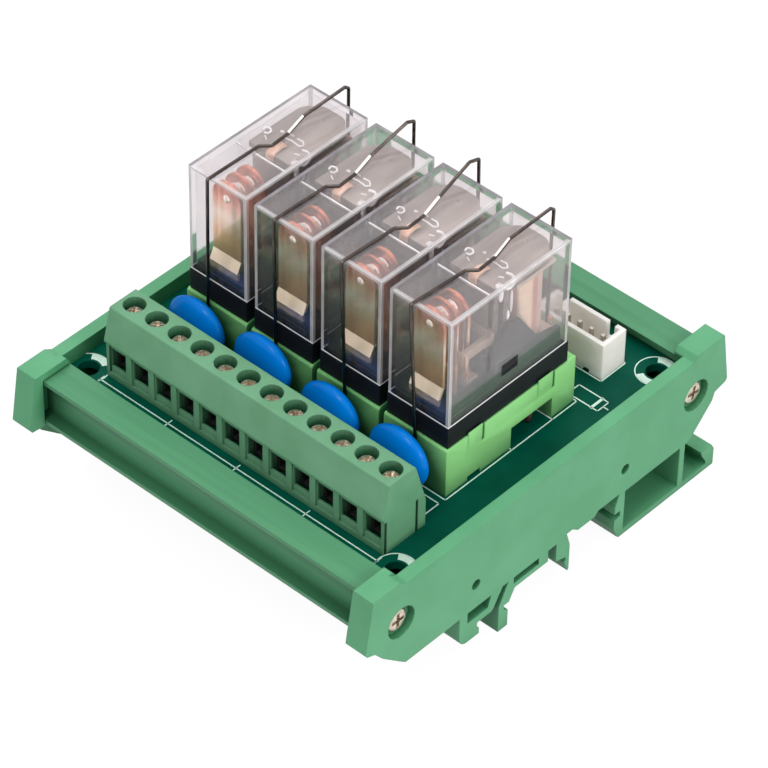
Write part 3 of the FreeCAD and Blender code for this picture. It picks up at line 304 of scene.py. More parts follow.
def cross_head_screw(radius, height, shank, length, matrix):
    """Screw with a cross recess in its domed head, whose underside is at zero with the shank below."""
    screw = round_piece([
        (0, -length), (shank * 0.6, -length), (shank, -length + shank * 0.5), (shank, 0), (radius, 0),
        (radius, height * 0.6), (radius * 0.94, height * 0.82), (radius * 0.75, height * 0.95), (0, height),
    ], Matrix())
    reach, width, floor = radius * 0.66, radius * 0.16, height - radius * 0.4
    for x, y in ((reach, width), (width, reach)):
        slot = bmesh.new()
        block(slot, (-x, x), (-y, y), (floor, height * 1.5))
        screw = carved(screw, slot)
    bmesh.ops.transform(screw, matrix=matrix, verts=screw.verts)
    return screw


plated_steel = surface("plated_steel", paint(226, 214, 196), paint(190, 176, 158), metallic=0.9,
                       patch_scale=900, grain_scale=6000, grain_depth=0.15, roughness=0.3,
                       edge_radius=0.0001)
screw_low, screw_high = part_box("bracket_screws")
bracket_head_radius = 0.0021
bracket_head_height = 0.0008
bracket_shank_radius = 0.0012
bracket_shank_length = 0.009
bracket_screw_seat = screw_high.x - bracket_head_height
screws = []
for side in (-1, 1):
    for y in (screw_low.y + bracket_head_radius, screw_high.y - bracket_head_radius):
        spot = Vector((side * bracket_screw_seat, y, (screw_low.z + screw_high.z) / 2))
        recess_turn = 0.7 + 20 * y
        lie = Matrix.Rotation(side * math.pi / 2, 4, "Y") @ Matrix.Rotation(recess_turn, 4, "Z")
        screws.append(cross_head_screw(bracket_head_radius, bracket_head_height, bracket_shank_radius,
                                       bracket_shank_length, Matrix.Translation(spot) @ lie))
new_piece("bracket_screw_set", merged(screws), plated_steel, ("bracket_screws",),
          smooth_angle=40)


# Circuit board: fibreglass under dark green solder mask, with a white printed legend.
# It slides in the tray's grooves and carries every plug-in part.

board_green = surface("board_green", paint(0, 80, 62), paint(0, 68, 53), specular=0.06, patch_scale=120,
                      grain_scale=4000, grain_depth=0.05, roughness=0.36, edge_radius=0.0001)
dress("circuit_board", board_green)
print_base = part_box("circuit_board")[1].z
print_height = 0.00003
mm = 0.001


def stroke(shape, start, end, width=0.22):
    """Adds a printed line between two places in millimetres."""
    start, end = Vector(start) * mm, Vector(end) * mm
    run = end - start
    turn = Matrix.Rotation(math.atan2(run.y, run.x), 4, "Z")
    middle = ((start.x + end.x) / 2, (start.y + end.y) / 2, print_base + print_height / 2)
    size = Matrix.Diagonal((run.length + width * mm, width * mm, print_height, 1))
    bmesh.ops.create_cube(shape, size=1, matrix=Matrix.Translation(middle) @ turn @ size)


def frame_strokes(shape, corners, closed=True):
    """Adds printed lines from corner to corner."""
    ends = corners[1:] + corners[:1] if closed else corners[1:]
    for start, end in zip(corners, ends):
        stroke(shape, start, end)


def arc_band(shape, centre, inner, outer, start, sweep):
    """Adds a printed sector or a whole ring, with its radii in millimetres."""
    degrees_per_step = 8
    whole = sweep >= 360
    corners = [(inner, 0), (outer, 0), (outer, 1), (inner, 1)]
    verts = [shape.verts.new((r * mm, 0, print_base + h * print_height)) for r, h in corners]
    edges = [shape.edges.new((verts[k - 1], verts[k])) for k in range(4)]
    geom = verts + edges
    if not whole:
        geom.append(shape.faces.new(verts))
    before = set(shape.verts) - set(verts)
    bmesh.ops.spin(shape, geom=geom, cent=(0, 0, 0), axis=(0, 0, 1), angle=math.radians(sweep),
                   steps=max(4, int(sweep / degrees_per_step)), use_merge=whole)
    made = [vert for vert in shape.verts if vert not in before]
    bmesh.ops.rotate(shape, cent=(0, 0, 0), matrix=Matrix.Rotation(math.radians(start), 3, "Z"), verts=made)
    bmesh.ops.translate(shape, vec=(centre[0] * mm, centre[1] * mm, 0), verts=made)


legend = bmesh.new()
stroke(legend, (-30.6, -32.1), (30.6, -32.1))
for x in (-30.6, -15.2, 0, 15.2, 30.5):
    stroke(legend, (x, -33.0), (x, -31.2))
frame_strokes(legend, [(24.0, -16.0), (28.9, -16.0), (28.9, -19.5)], closed=False)
frame_strokes(legend, [(-29.1, -14.7), (29.1, -14.7), (29.1, 17.1), (-29.1, 17.1)])
for y in (1.2, 11.1):
    stroke(legend, (-29.1, y), (29.1, y))
frame_strokes(legend, [(26.8, 17.6), (33.1, 17.6), (33.1, 20.4), (26.8, 20.4)])
stroke(legend, (31.8, 17.6), (31.8, 20.4), 0.5)
stroke(legend, (33.1, 19.0), (34.1, 19.0))
stroke(legend, (25.8, 19.0), (26.8, 19.0))
frame_strokes(legend, [(13.6, 23.4), (28.9, 23.4), (28.9, 29.6), (13.6, 29.6)])
corner_hole_x, corner_hole_y = 33.9, 31.5
ring_radii = (3.45, 3.65)
sector_radii, sector_starts, sector_sweep = (2.2, 3.5), (55, 235), 70
for x in (-corner_hole_x, corner_hole_x):
    for y in (-corner_hole_y, corner_hole_y):
        arc_band(legend, (x, y), *ring_radii, 0, 360)
        for start in sector_starts:
            arc_band(legend, (x, y), *sector_radii, start, sector_sweep)
bmesh.ops.recalc_face_normals(legend, faces=legend.faces)
legend_white = surface("legend_white", paint(205, 228, 215), paint(190, 218, 203), patch_scale=1500,
                       roughness=0.6, grain_scale=8000, grain_depth=0.1, edge_radius=0.0)
new_piece("board_legend", legend, legend_white)


# Terminal row: twelve screw poles in one moulded housing, soldered along the board's front edge.
# Steel cages rise on the screws inside it and grip the wires that enter from the front.

terminal_green = surface("terminal_green", paint(100, 151, 117), paint(92, 143, 108), specular=0.3,
                         patch_scale=160, grain_scale=1400, grain_depth=0.12, roughness=0.4)
shade_recess(terminal_green, 0.004, (0.12, 0.3, 0.24, 1))
dress("terminal_housing", terminal_green)
# The cages are painted darker than bare plated steel, as painted shade for the deep wire entries.
cage_steel_painted_dark = surface("cage_steel_painted_dark", paint(66, 68, 66), paint(50, 52, 50), metallic=0.7, patch_scale=700,
                     roughness=0.4, edge_radius=0.0001)
dress("terminal_clamps", cage_steel_painted_dark)
tinned = surface("tinned", paint(205, 200, 190), paint(176, 170, 160), metallic=1.0, patch_scale=1200,
                 roughness=0.3, grain_scale=5000, grain_depth=0.1, edge_radius=0.0001)
dress("terminal_pins", tinned)
pole_low, pole_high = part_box("terminal_screws")
pole_count = 12
pole_pitch = 0.00508
pole_head_radius = 0.00172
pole_head_height = 0.0031
pole_shank_radius = 0.00118
pole_seat = pole_high.z - pole_head_height
poles = []
for k in range(pole_count):
    along = (k - (pole_count - 1) / 2) * pole_pitch
    spot = Matrix.Translation((along, (pole_low.y + pole_high.y) / 2, pole_seat))
    recess_turn = 0.6 + 1.7 * k
    poles.append(cross_head_screw(pole_head_radius, pole_head_height, pole_shank_radius,
                                  pole_seat - pole_low.z, spot @ Matrix.Rotation(recess_turn, 4, "Z")))
new_piece("terminal_screw_set", merged(poles), plated_steel, ("terminal_screws",),
          smooth_angle=40)


# Varistors: zinc oxide discs dipped in blue epoxy, one in front of each relay on two tinned leads.
# The coat is glossy, domed on both faces, and drawn out a little more to the sides than upwards.

epoxy_blue = surface("epoxy_blue", paint(0, 112, 200), paint(0, 104, 190), specular=0.0, coat=0.2,
                     patch_scale=110, roughness=0.34, grain_scale=450, grain_depth=0.25, edge_radius=0.0)
dress("varistor_leads", tinned)
relays = range(1, 5)
disc_swell = 1.006
disc_fullness = 0.95
disc_height_share = 0.92
disc_shift = Vector((0.0006, 0, -0.0008))
disc_steps = 24
for number in relays:
    low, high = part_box("varistor_%d" % number)
    radius, half = (high.x - low.x) / 2 * disc_swell, (high.y - low.y) / 2
    profile = []
    for step in range(disc_steps + 1):
        angle = math.pi * step / disc_steps
        profile.append((radius * math.sin(angle) ** disc_fullness, -half * math.cos(angle)))
    profile[0], profile[-1] = (0, profile[0][1]), (0, profile[-1][1])
    middle = Matrix.Translation((low + high) / 2 + disc_shift)
    settled = middle @ Matrix.Diagonal((1, 1, disc_height_share, 1))
    upright = settled @ Matrix.Rotation(math.pi / 2, 4, "X")
    new_piece("varistor_disc_%d" % number, round_piece(profile, upright, 64), epoxy_blue,
              ("varistor_%d" % number,), smooth_angle=60)


# Relay sockets: moulded in a yellower green and soldered to the board, with brass spring forks inside.
# The front wall's long upper edge is rounded, and painted shade darkens the walls towards the board.

socket_green = surface("socket_green", paint(136, 202, 128), paint(126, 190, 118), specular=0.25,
                       patch_scale=130, grain_scale=2600, grain_depth=0.12, roughness=0.4)
shade_recess(socket_green, 0.008, (0.06, 0.2, 0.2, 1))
dress("socket_contacts", tinned)


def softened(node, width, wide=0.0, picked=None):
    """Copy of a node with its edges rounded, and the picked edges rounded first and more widely."""
    shape = bmesh.new()
    shape.from_mesh(nodes[node].data)
    bmesh.ops.remove_doubles(shape, verts=shape.verts, dist=1e-6)
    bmesh.ops.dissolve_limit(shape, angle_limit=0.01, verts=shape.verts, edges=shape.edges)
    if picked:
        edges = [edge for edge in shape.edges if picked(edge)]
        bmesh.ops.bevel(shape, geom=edges, offset=wide, offset_type="OFFSET", affect="EDGES", segments=6,
                        profile=0.5, clamp_overlap=True, material=-1)
    edges = [edge for edge in shape.edges if edge.is_manifold and edge.calc_face_angle() > 0.5]
    bmesh.ops.bevel(shape, geom=edges, offset=width, offset_type="OFFSET", affect="EDGES", segments=2,
                    profile=0.5, clamp_overlap=True, material=-1)
    return shape


mould_edge = 0.00008
socket_roll = 0.0004
socket_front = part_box("socket_1")[0].y + 1e-5
socket_upper_part = 0.0338


def front_top_edge(edge):
    """The long top edge of a socket's front wall."""
    return all(vert.co.y < socket_front and vert.co.z > socket_upper_part for vert in edge.verts)


for number in relays:
    rounded = softened("socket_%d" % number, mould_edge, socket_roll, front_top_edge)
    new_piece("plug_socket_%d" % number, rounded, socket_green, ("socket_%d" % number,),
              smooth_angle=35)


# Diodes: small glass bodies standing on end in the sockets' tunnels, one across each relay coil.
# The upper lead is bent back down to the board.

def bent_rod(spots, bends, radius):
    """Round wire through places in metres, straight between its bends."""
    route = [spots[0]]
    for before, corner, after, bend in zip(spots, spots[1:], spots[2:], bends):
        route.append(corner + (before - corner).normalized() * bend)
        route.append(corner)
        route.append(corner + (after - corner).normalized() * bend)
    route.append(spots[-1])
    curve = bpy.data.curves.new("wire", "CURVE")
    curve.dimensions = "3D"
    spline = curve.splines.new("NURBS")
    spline.points.add(len(route) - 1)
    for point, place in zip(spline.points, route):
        point.co = (*place, 1)
    spline.order_u = 3
    spline.use_endpoint_u = True
    spline.resolution_u = 6
    curve.bevel_depth = radius
    curve.bevel_resolution = 3
    curve.use_fill_caps = True
    held = bpy.data.objects.new("wire", curve)
    bpy.context.scene.collection.objects.link(held)
    bpy.context.view_layer.update()
    mesh = bpy.data.meshes.new_from_object(held)
    shape = bmesh.new()
    shape.from_mesh(mesh)
    bpy.data.objects.remove(held)
    bpy.data.curves.remove(curve)
    bpy.data.meshes.remove(mesh)
    bmesh.ops.remove_doubles(shape, verts=shape.verts, dist=1e-7)
    bmesh.ops.recalc_face_normals(shape, faces=shape.faces)
    return shape


centres = []
for number in relays:
    low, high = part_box("relay_cover_%d" % number)
    centres.append(Vector(((low.x + high.x) / 2, 0, print_base)))


def from_relay(centre, x, y, z):
    """Place given in millimetres from a relay's centre line and the board."""
    return centre + Vector((x, y, z)) * mm


glass_black = surface("glass_black", paint(40, 34, 32), paint(60, 44, 36), coat=0.5, patch_scale=800,
                      roughness=0.25)
pin_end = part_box("diodes")[0].z
diode_x, return_x, diode_y = 4.5, 2.9, 8
lead_top = 3.7
lead_radius = 0.00022
lead_bend = 0.0006
glass_outline = [(0, 0), (0.0005, 0), (0.0008, 0.0003), (0.0008, 0.002), (0.0005, 0.0023), (0, 0.0023)]
bodies, leads = [], []
for centre in centres:
    foot = Matrix.Translation(from_relay(centre, diode_x, diode_y, 0.3))
    bodies.append(round_piece(glass_outline, foot, 20))
    route = [from_relay(centre, diode_x, diode_y, 2.4), from_relay(centre, diode_x, diode_y, lead_top),
             from_relay(centre, return_x, diode_y, lead_top), from_relay(centre, return_x, diode_y, 0)]
    route[-1].z = pin_end
    leads.append(bent_rod(route, (lead_bend, lead_bend), lead_radius))
    lower_lead = [from_relay(centre, diode_x, diode_y, -3.2), from_relay(centre, diode_x, diode_y, 0.4)]
    leads.append(bent_rod(lower_lead, (), lead_radius))
new_piece("diode_bodies", merged(bodies), glass_black, ("diodes",), smooth_angle=40)
new_piece("diode_leads", merged(leads), tinned, smooth_angle=60)


# Relay bases: black thermoset bands that the contacts and the coil pins are pressed into.
# A matt moulding with a fine grain, plugged into the socket below.

base_black = surface("base_black", paint(24, 25, 30), paint(17, 18, 22), specular=0.22,
                     patch_scale=140, grain_scale=3500, grain_depth=0.12, roughness=0.42)
for number in relays:
    dress("relay_base_%d" % number, base_black)


# Coils: enamelled copper wire wound in even layers on a moulded bobbin, on an iron core.
# The core is fixed in an iron yoke, and an upright highlight streak with shade beside it is painted on the
# turns.

bobbin_cream = surface("bobbin_cream", paint(206, 190, 176), paint(194, 178, 164), patch_scale=200,
                       roughness=0.45)
plated_iron = surface("plated_iron", paint(168, 156, 147), paint(142, 131, 123), metallic=0.5,
                      patch_scale=500, roughness=0.45, stretch=(1, 0.15, 1), grain_scale=4200,
                      grain_depth=0.15, edge_radius=0.00015)
coil_copper = surface("coil_copper", paint(255, 250, 242), paint(250, 240, 230), metallic=0.4,
                      patch_scale=300, roughness=0.32, stretch=(1, 1, 6), grain_scale=1200,
                      grain_depth=0.2, edge_radius=0.0)
# Painted highlight and shade: the turns' colour follows which way they face, with a cream highlight streak
# and darker pink shade beside it.
painted_streak_axis = (0.7365, 0.6763, 0)
painted_streak_tones = ((0.08, paint(196, 150, 136)), (0.2, paint(255, 238, 214)), (0.6, paint(255, 232, 208)),
         (0.7, paint(216, 166, 148)), (0.8, paint(220, 172, 156)), (0.86, paint(246, 214, 204)))
tree = coil_copper.node_tree
painted_streak_facing = tree.nodes.new("ShaderNodeVectorMath")
painted_streak_facing.operation = "DOT_PRODUCT"
painted_streak_facing.inputs[1].default_value = painted_streak_axis
tree.links.new(tree.nodes.new("ShaderNodeNewGeometry").outputs["Normal"], painted_streak_facing.inputs[0])
multiply_colour(coil_copper, colour_ramp(tree, painted_streak_facing.outputs["Value"], painted_streak_tones))
dress("coil_cores", plated_iron)
coils = []
wound_low, wound_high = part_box("coil_windings")
bobbin_low, bobbin_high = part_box("coil_bobbin_1")
coil_y = (bobbin_low.y + bobbin_high.y) / 2
inner_radius, groove_radius, crest_radius = 0.00245, 0.00452, 0.0046
turn_count = 44
turn_height = (wound_high.z - wound_low.z) / turn_count
for centre in centres:
    profile = [(inner_radius, 0)]
    for k in range(turn_count):
        profile += [(groove_radius, k * turn_height), (crest_radius, (k + 0.5) * turn_height)]
    profile += [(groove_radius, turn_count * turn_height), (inner_radius, turn_count * turn_height)]
    wound = bmesh.new()
    verts = [wound.verts.new((radius, 0, height)) for radius, height in profile]
    edges = [wound.edges.new((verts[k - 1], verts[k])) for k in range(len(verts))]
    bmesh.ops.spin(wound, geom=verts + edges, cent=(0, 0, 0), axis=(0, 0, 1), angle=2 * math.pi,
                   steps=48, use_merge=True)
    bmesh.ops.recalc_face_normals(wound, faces=wound.faces)
    bmesh.ops.translate(wound, verts=wound.verts, vec=(centre.x, coil_y, wound_low.z))
    coils.append(wound)
new_piece("coil_turns", merged(coils), coil_copper, ("coil_windings",), smooth_angle=80)
for number in relays:
    dress("coil_bobbin_%d" % number, bobbin_cream)
    dress("yoke_%d" % number, plated_iron)


# Armatures: plated iron plates that rock on the yoke's edge, each with a pressed dimple over the core
# and a copper return leaf at its hinge. A moulded fork on the armature pushes the moving contact.

rear_part = 0.009
corner_round = 0.0009


def upright_rear_edge(edge):
    """Upright edges of the armature's two rear corners."""
    ends = [vert.co for vert in edge.verts]
    upright = (ends[0] - ends[1]).normalized()
    return abs(upright.z) > 0.9 and min(end.y for end in ends) > rear_part


card_khaki = surface("card_khaki", paint(168, 150, 132), paint(150, 132, 114), patch_scale=240,
                     roughness=0.5)
leaf_copper = surface("leaf_copper", paint(250, 214, 190), paint(236, 190, 160), metallic=0.3,
                      patch_scale=400, roughness=0.42, edge_radius=0.0001)
dimple_outline = [(0, -0.0001), (0.0005, -0.0001), (0.0005, 0), (0.00042, 0.00012), (0.0002, 0.0002),
                  (0, 0.00022)]
leaf_x = -0.2
leaf_places = ((1.9, 33.9), (0.7, 34.3), (-1.3, 33.9), (-1.5, 32.0))
leaf_half_thickness = 0.00018
leaf_bend = 0.0007
leaf_width_share = 5.0
fork_edge = 0.00012
for number, centre in zip(relays, centres):
    body = "relay_armature_%d" % number
    plate = softened("armature_%d" % number, mould_edge, corner_round, upright_rear_edge)
    dimple = round_piece(dimple_outline, Matrix.Translation(from_relay(centre, 0.1, 10.6, 33.8)), 24)
    new_piece("armature_plate_%d" % number, merged([plate, dimple]), plated_iron,
              ("armature_%d" % number,), body, smooth_angle=35)
    route = [from_relay(centre, leaf_x, y, z) for y, z in leaf_places]
    tongue = bent_rod(route, (leaf_bend, leaf_bend), leaf_half_thickness)
    bmesh.ops.scale(tongue, vec=(leaf_width_share, 1, 1), verts=tongue.verts,
                    space=Matrix.Translation((-centre.x + 0.0002, 0, 0)))
    new_piece("hinge_leaf_%d" % number, tongue, leaf_copper, (), body, smooth_angle=60)
    new_piece("fork_%d" % number, softened("actuator_card_%d" % number, fork_edge), card_khaki,
              ("actuator_card_%d" % number,), body, smooth_angle=35)


# Contacts: sprung copper alloy blades with round crowns and domed silver alloy rivets.
# The front blade is cranked out at its foot, where it is staked in the base.

contact_copper = surface("contact_copper", paint(255, 250, 248), paint(250, 240, 234), metallic=0.75,
                         patch_scale=260, roughness=0.2, grain_scale=3000, grain_depth=0.1,
                         edge_radius=0.00015)


def painted_light_by_height(material, stops):
    """Paints light and shade into a material's colour as tints at heights in millimetres over the board."""
    span = 40
    tree = material.node_tree
    split = tree.nodes.new("ShaderNodeSeparateXYZ")
    tree.links.new(tree.nodes.new("ShaderNodeTexCoord").outputs["Object"], split.inputs[0])
    level = tree.nodes.new("ShaderNodeMapRange")
    level.inputs["From Min"].default_value = print_base
    level.inputs["From Max"].default_value = print_base + span * mm
    tree.links.new(split.outputs["Z"], level.inputs["Value"])
    tints = [(height / span, tint) for height, tint in stops]
    multiply_colour(material, colour_ramp(tree, level.outputs[0], tints))


# Painted light on the blades: pale painted highlights on the lower lengths, painted shade that darkens and
# reddens the crowns, and a bright painted highlight along their top rim.
painted_light_by_height(contact_copper, (
    (15.5, paint(255, 244, 226)),
    (19.3, paint(236, 186, 134)),
    (23, paint(242, 198, 156)),
    (27, paint(255, 238, 222)),
    (30, paint(236, 178, 154)),
    (31.5, paint(206, 134, 112)),
    (33, paint(204, 118, 92)),
    (33.8, paint(255, 160, 122)),
))
# Painted highlight: a brighter copy of the blade copper for the cranked foot's front faces.
heel_highlight_copper = surface("heel_highlight_copper", paint(255, 240, 214), paint(252, 232, 204), metallic=0.9,
                      patch_scale=500, roughness=0.4, grain_scale=3000, grain_depth=0.1,
                      edge_radius=0.0001)
rivet_silver = surface("rivet_silver", paint(255, 244, 232), paint(250, 228, 212), metallic=0.8,
                       patch_scale=600, roughness=0.22, grain_scale=5000, grain_depth=0.05,
                       edge_radius=0.0)
# Painted highlight: a white glint for the upper faces of the rivet domes.
rivet_glint_white = surface("rivet_glint_white", paint(255, 254, 250), paint(250, 246, 240), specular=1.0, coat=1.0,
                     patch_scale=900, roughness=0.2, grain_scale=5000, grain_depth=0.05, edge_radius=0.0)
blade_half = 0.0031
crown_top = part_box("moving_contact_1")[1].z
front_blade, rear_blade, sprung_blade = (-0.0114, -0.0108), (-0.0062, -0.0056), (-0.0086, -0.0082)
rivet_height = 30.8


def crowned_blade(shape, centre, y_range, bottom):
    """Adds an upright blade whose top corners are rounded into one arc; returns its lowest face."""
    corners = block(shape, (centre.x - blade_half, centre.x + blade_half), y_range, (bottom, crown_top))
    mine = {edge for vert in corners for edge in vert.link_edges}
    top = [edge for edge in mine if all(vert.co.z > crown_top - 1e-6 for vert in edge.verts)
           and abs(edge.verts[0].co.x - edge.verts[1].co.x) < 1e-6]
    faces = [face for vert in corners for face in vert.link_faces]
    foot = [face for face in faces if face.calc_center_median().z < bottom + 1e-6][0]
    bmesh.ops.bevel(shape, geom=top, offset=blade_half * 0.998, offset_type="OFFSET", affect="EDGES",
                    segments=12, profile=0.5, clamp_overlap=True, material=-1)
    return foot


def domed_rivet(centre, start, end, share=1.0):
    """Rivet along Y between two places in millimetres, domed at both ends."""
    length = (end - start) * mm
    profile = [(0, 0), (0.0007 * share, 0.00004), (0.0012 * share, 0.00014), (0.00155 * share, 0.00032)]
    profile += [(radius, length - height) for radius, height in reversed(profile)]
    spot = Matrix.Translation(from_relay(centre, 0, start, rivet_height))
    rivet = round_piece(profile, spot @ Matrix.Rotation(-math.pi / 2, 4, "X"), 28)
    # Painted highlight: faces that face up and to the right take the white glint material.
    for face in rivet.faces:
        if face.normal.z > 0.4 and face.normal.x > -0.2:
            face.material_index = 1
    return rivet


def drawn_on(shape, faces, step):
    """Extrudes faces by a step in metres and returns the new geometry."""
    made = bmesh.ops.extrude_face_region(shape, geom=faces)["geom"]
    verts = [item for item in made if isinstance(item, bmesh.types.BMVert)]
    bmesh.ops.translate(shape, vec=step, verts=verts)
    return made


crank_top, rear_foot, sprung_foot = print_base + 0.0192, print_base + 0.0162, print_base + 0.016
crank_step, heel_step = (0, -0.0009, -0.002), (0, 0, -0.0014)
heel_highlight_front, heel_highlight_low = -0.0105, print_base + 0.0172
shelf = ((-0.0056, -0.00325), (rear_foot, print_base + 0.0168))
tail_end = print_base + 0.005
contact_tails = ((-12.05, 16.1), (-7.9, 17.0), (-3.5, 16.8))
contact_tail_half, contact_tail_depth = 0.001, 0.25
coil_tail_x, coil_tail_half = 3.8, 0.32
coil_tail_y, coil_tail_top = (0.01278, 0.01342), print_base + 0.019
arm_end, arm_heights = 0.005, (print_base + 0.0228, print_base + 0.0252)
fixed_heads = ((-10.9, -10.0, 1.0), (-7.1, -6.1, 1.0), (-11.65, -11.0, 0.55))
sprung_head = (-9.3, -7.2)
for number, centre in zip(relays, centres):
    fixed = bmesh.new()
    foot = crowned_blade(fixed, centre, front_blade, crank_top)
    bent = drawn_on(fixed, [foot], crank_step)
    sole = [item for item in bent if isinstance(item, bmesh.types.BMFace)]
    drawn_on(fixed, sole, heel_step)
    crowned_blade(fixed, centre, rear_blade, rear_foot)
    block(fixed, (centre.x - blade_half, centre.x + blade_half), *shelf)
    for y, top in contact_tails:
        block(fixed, (centre.x - contact_tail_half, centre.x + contact_tail_half),
              ((y - contact_tail_depth) * mm, (y + contact_tail_depth) * mm),
              (tail_end, print_base + top * mm))
    for x in (-coil_tail_x, coil_tail_x):
        block(fixed, (centre.x + (x - coil_tail_half) * mm, centre.x + (x + coil_tail_half) * mm),
              coil_tail_y, (tail_end, coil_tail_top))
    bmesh.ops.recalc_face_normals(fixed, faces=fixed.faces)
    # Painted highlight: the cranked foot's front faces take the brighter heel copper.
    for face in fixed.faces:
        spot = face.calc_center_median()
        if spot.y < heel_highlight_front and heel_highlight_low < spot.z < crank_top:
            face.material_index = 1
    contact = new_piece("fixed_contacts_%d" % number, fixed, contact_copper,
                        ("relay_terminals_%d" % number,), smooth_angle=35)
    contact.data.materials.append(heel_highlight_copper)
    heads = [domed_rivet(centre, *head) for head in fixed_heads]
    rivets = [new_piece("fixed_rivets_%d" % number, merged(heads), rivet_silver,
                        smooth_angle=50)]
    moving = bmesh.new()
    crowned_blade(moving, centre, sprung_blade, sprung_foot)
    for side in (-1, 1):
        arm = sorted((centre.x + side * blade_half, centre.x + side * arm_end))
        block(moving, arm, sprung_blade, arm_heights)
    bmesh.ops.recalc_face_normals(moving, faces=moving.faces)
    body = "relay_contact_%d" % number
    new_piece("sprung_contact_%d" % number, moving, contact_copper,
              ("moving_contact_%d" % number,), body, smooth_angle=35)
    rivets.append(new_piece("sprung_rivet_%d" % number, domed_rivet(centre, *sprung_head),
                            rivet_silver, (), body, smooth_angle=50))
    for rivet in rivets:
        rivet.data.materials.append(rivet_glint_white)


# Relay covers: clear polycarbonate shells that snap over lugs on the base.
# The moulding is slightly milky, with painted highlights on its edges and on the raised marks inside its
# roof.

def make_clear(name, tint, second_tint, clearness):
    """Clear plastic that bends light little and keeps a glossy skin."""
    material = surface(name, tint, second_tint, coat=1.0, patch_scale=150, roughness=0.1,
                       grain_scale=180, grain_depth=0.12, edge_radius=0.0)
    shader = material.node_tree.nodes["Principled BSDF"]
    shader.inputs["Transmission Weight"].default_value = clearness
    shader.inputs["IOR"].default_value = 1.06
    shader.inputs["Coat Roughness"].default_value = 0.06
    return material


cover_clear = make_clear("cover_clear", paint(250, 248, 249), paint(247, 244, 246), 0.985)
# Painted light: the band and rim finishes are painted highlights and the far-edge finish is a painted grey.
# The roof and side finishes are hazier than the front, partly milky plastic and partly painted sheen.
cover_band = make_clear("cover_band", paint(232, 228, 230), paint(206, 200, 203), 0.5)
cover_rim = make_clear("cover_rim", paint(255, 254, 254), paint(244, 243, 244), 0.1)
cover_side = make_clear("cover_side", paint(234, 228, 230), paint(222, 216, 218), 0.92)
cover_edge = make_clear("cover_edge", paint(160, 154, 160), paint(128, 122, 128), 0.25)
cover_roof = make_clear("cover_roof", paint(244, 238, 239), paint(234, 228, 230), 0.89)
finishes = (cover_clear, cover_band, cover_rim, cover_roof, cover_edge, cover_side)
roof_marks = (
    (0.16, ((-0.7, 2.5, 34.7), (0.9, 2.7, 34.7), (2.6, 2.5, 34.7), (3.0, 3.2, 34.6), (2.3, 3.8, 34.7),
            (1.1, 3.7, 34.7))),
    (0.14, ((-0.6, 3.8, 34.7), (0.3, 3.8, 34.7))),
    (0.18, ((-4.5, 1.6, 34.7), (-4.7, 2.4, 34.7), (-3.9, 2.7, 34.7), (-3.2, 2.2, 34.7),
            (-3.3, 1.4, 34.7), (-3.9, 1.3, 34.7))),
    (0.12, ((-3.2, 0.7, 34.7), (-2.3, 0.2, 34.7))),
    (0.24, ((3.6, 2.2, 34.6), (4.6, 2.5, 34.6), (5.2, 2.3, 34.2), (5.25, 1.5, 33.4), (5.2, 0.7, 33.3),
            (4.9, 0.1, 34.0), (4.4, -0.6, 34.6))),
    (0.15, ((3.4, 0.6, 34.7), (4.2, 1.0, 34.7))),
)
mark_bend = 0.0005
rib_half, rib_depth = 0.0055, (-0.00372, -0.00348)
rib_heights = (print_base + 0.0345, print_base + 0.03475)
roof_beads = (
    ((-2.0, 3.5, 34.6), (0.4, 0.3, 0.15)),
    ((4.6, -0.9, 34.4), (0.45, 0.5, 0.3)),
    ((5.2, -0.9, 32.9), (0.25, 0.55, 1.25)),
    ((5.2, 1.6, 30.3), (0.22, 0.32, 2.3)),
    ((5.2, 0.9, 27.9), (0.22, 0.35, 1.0)),
)
band = 0.0006
foot_line = 0.0003
shell_edge = 0.00012
skin = 0.0002
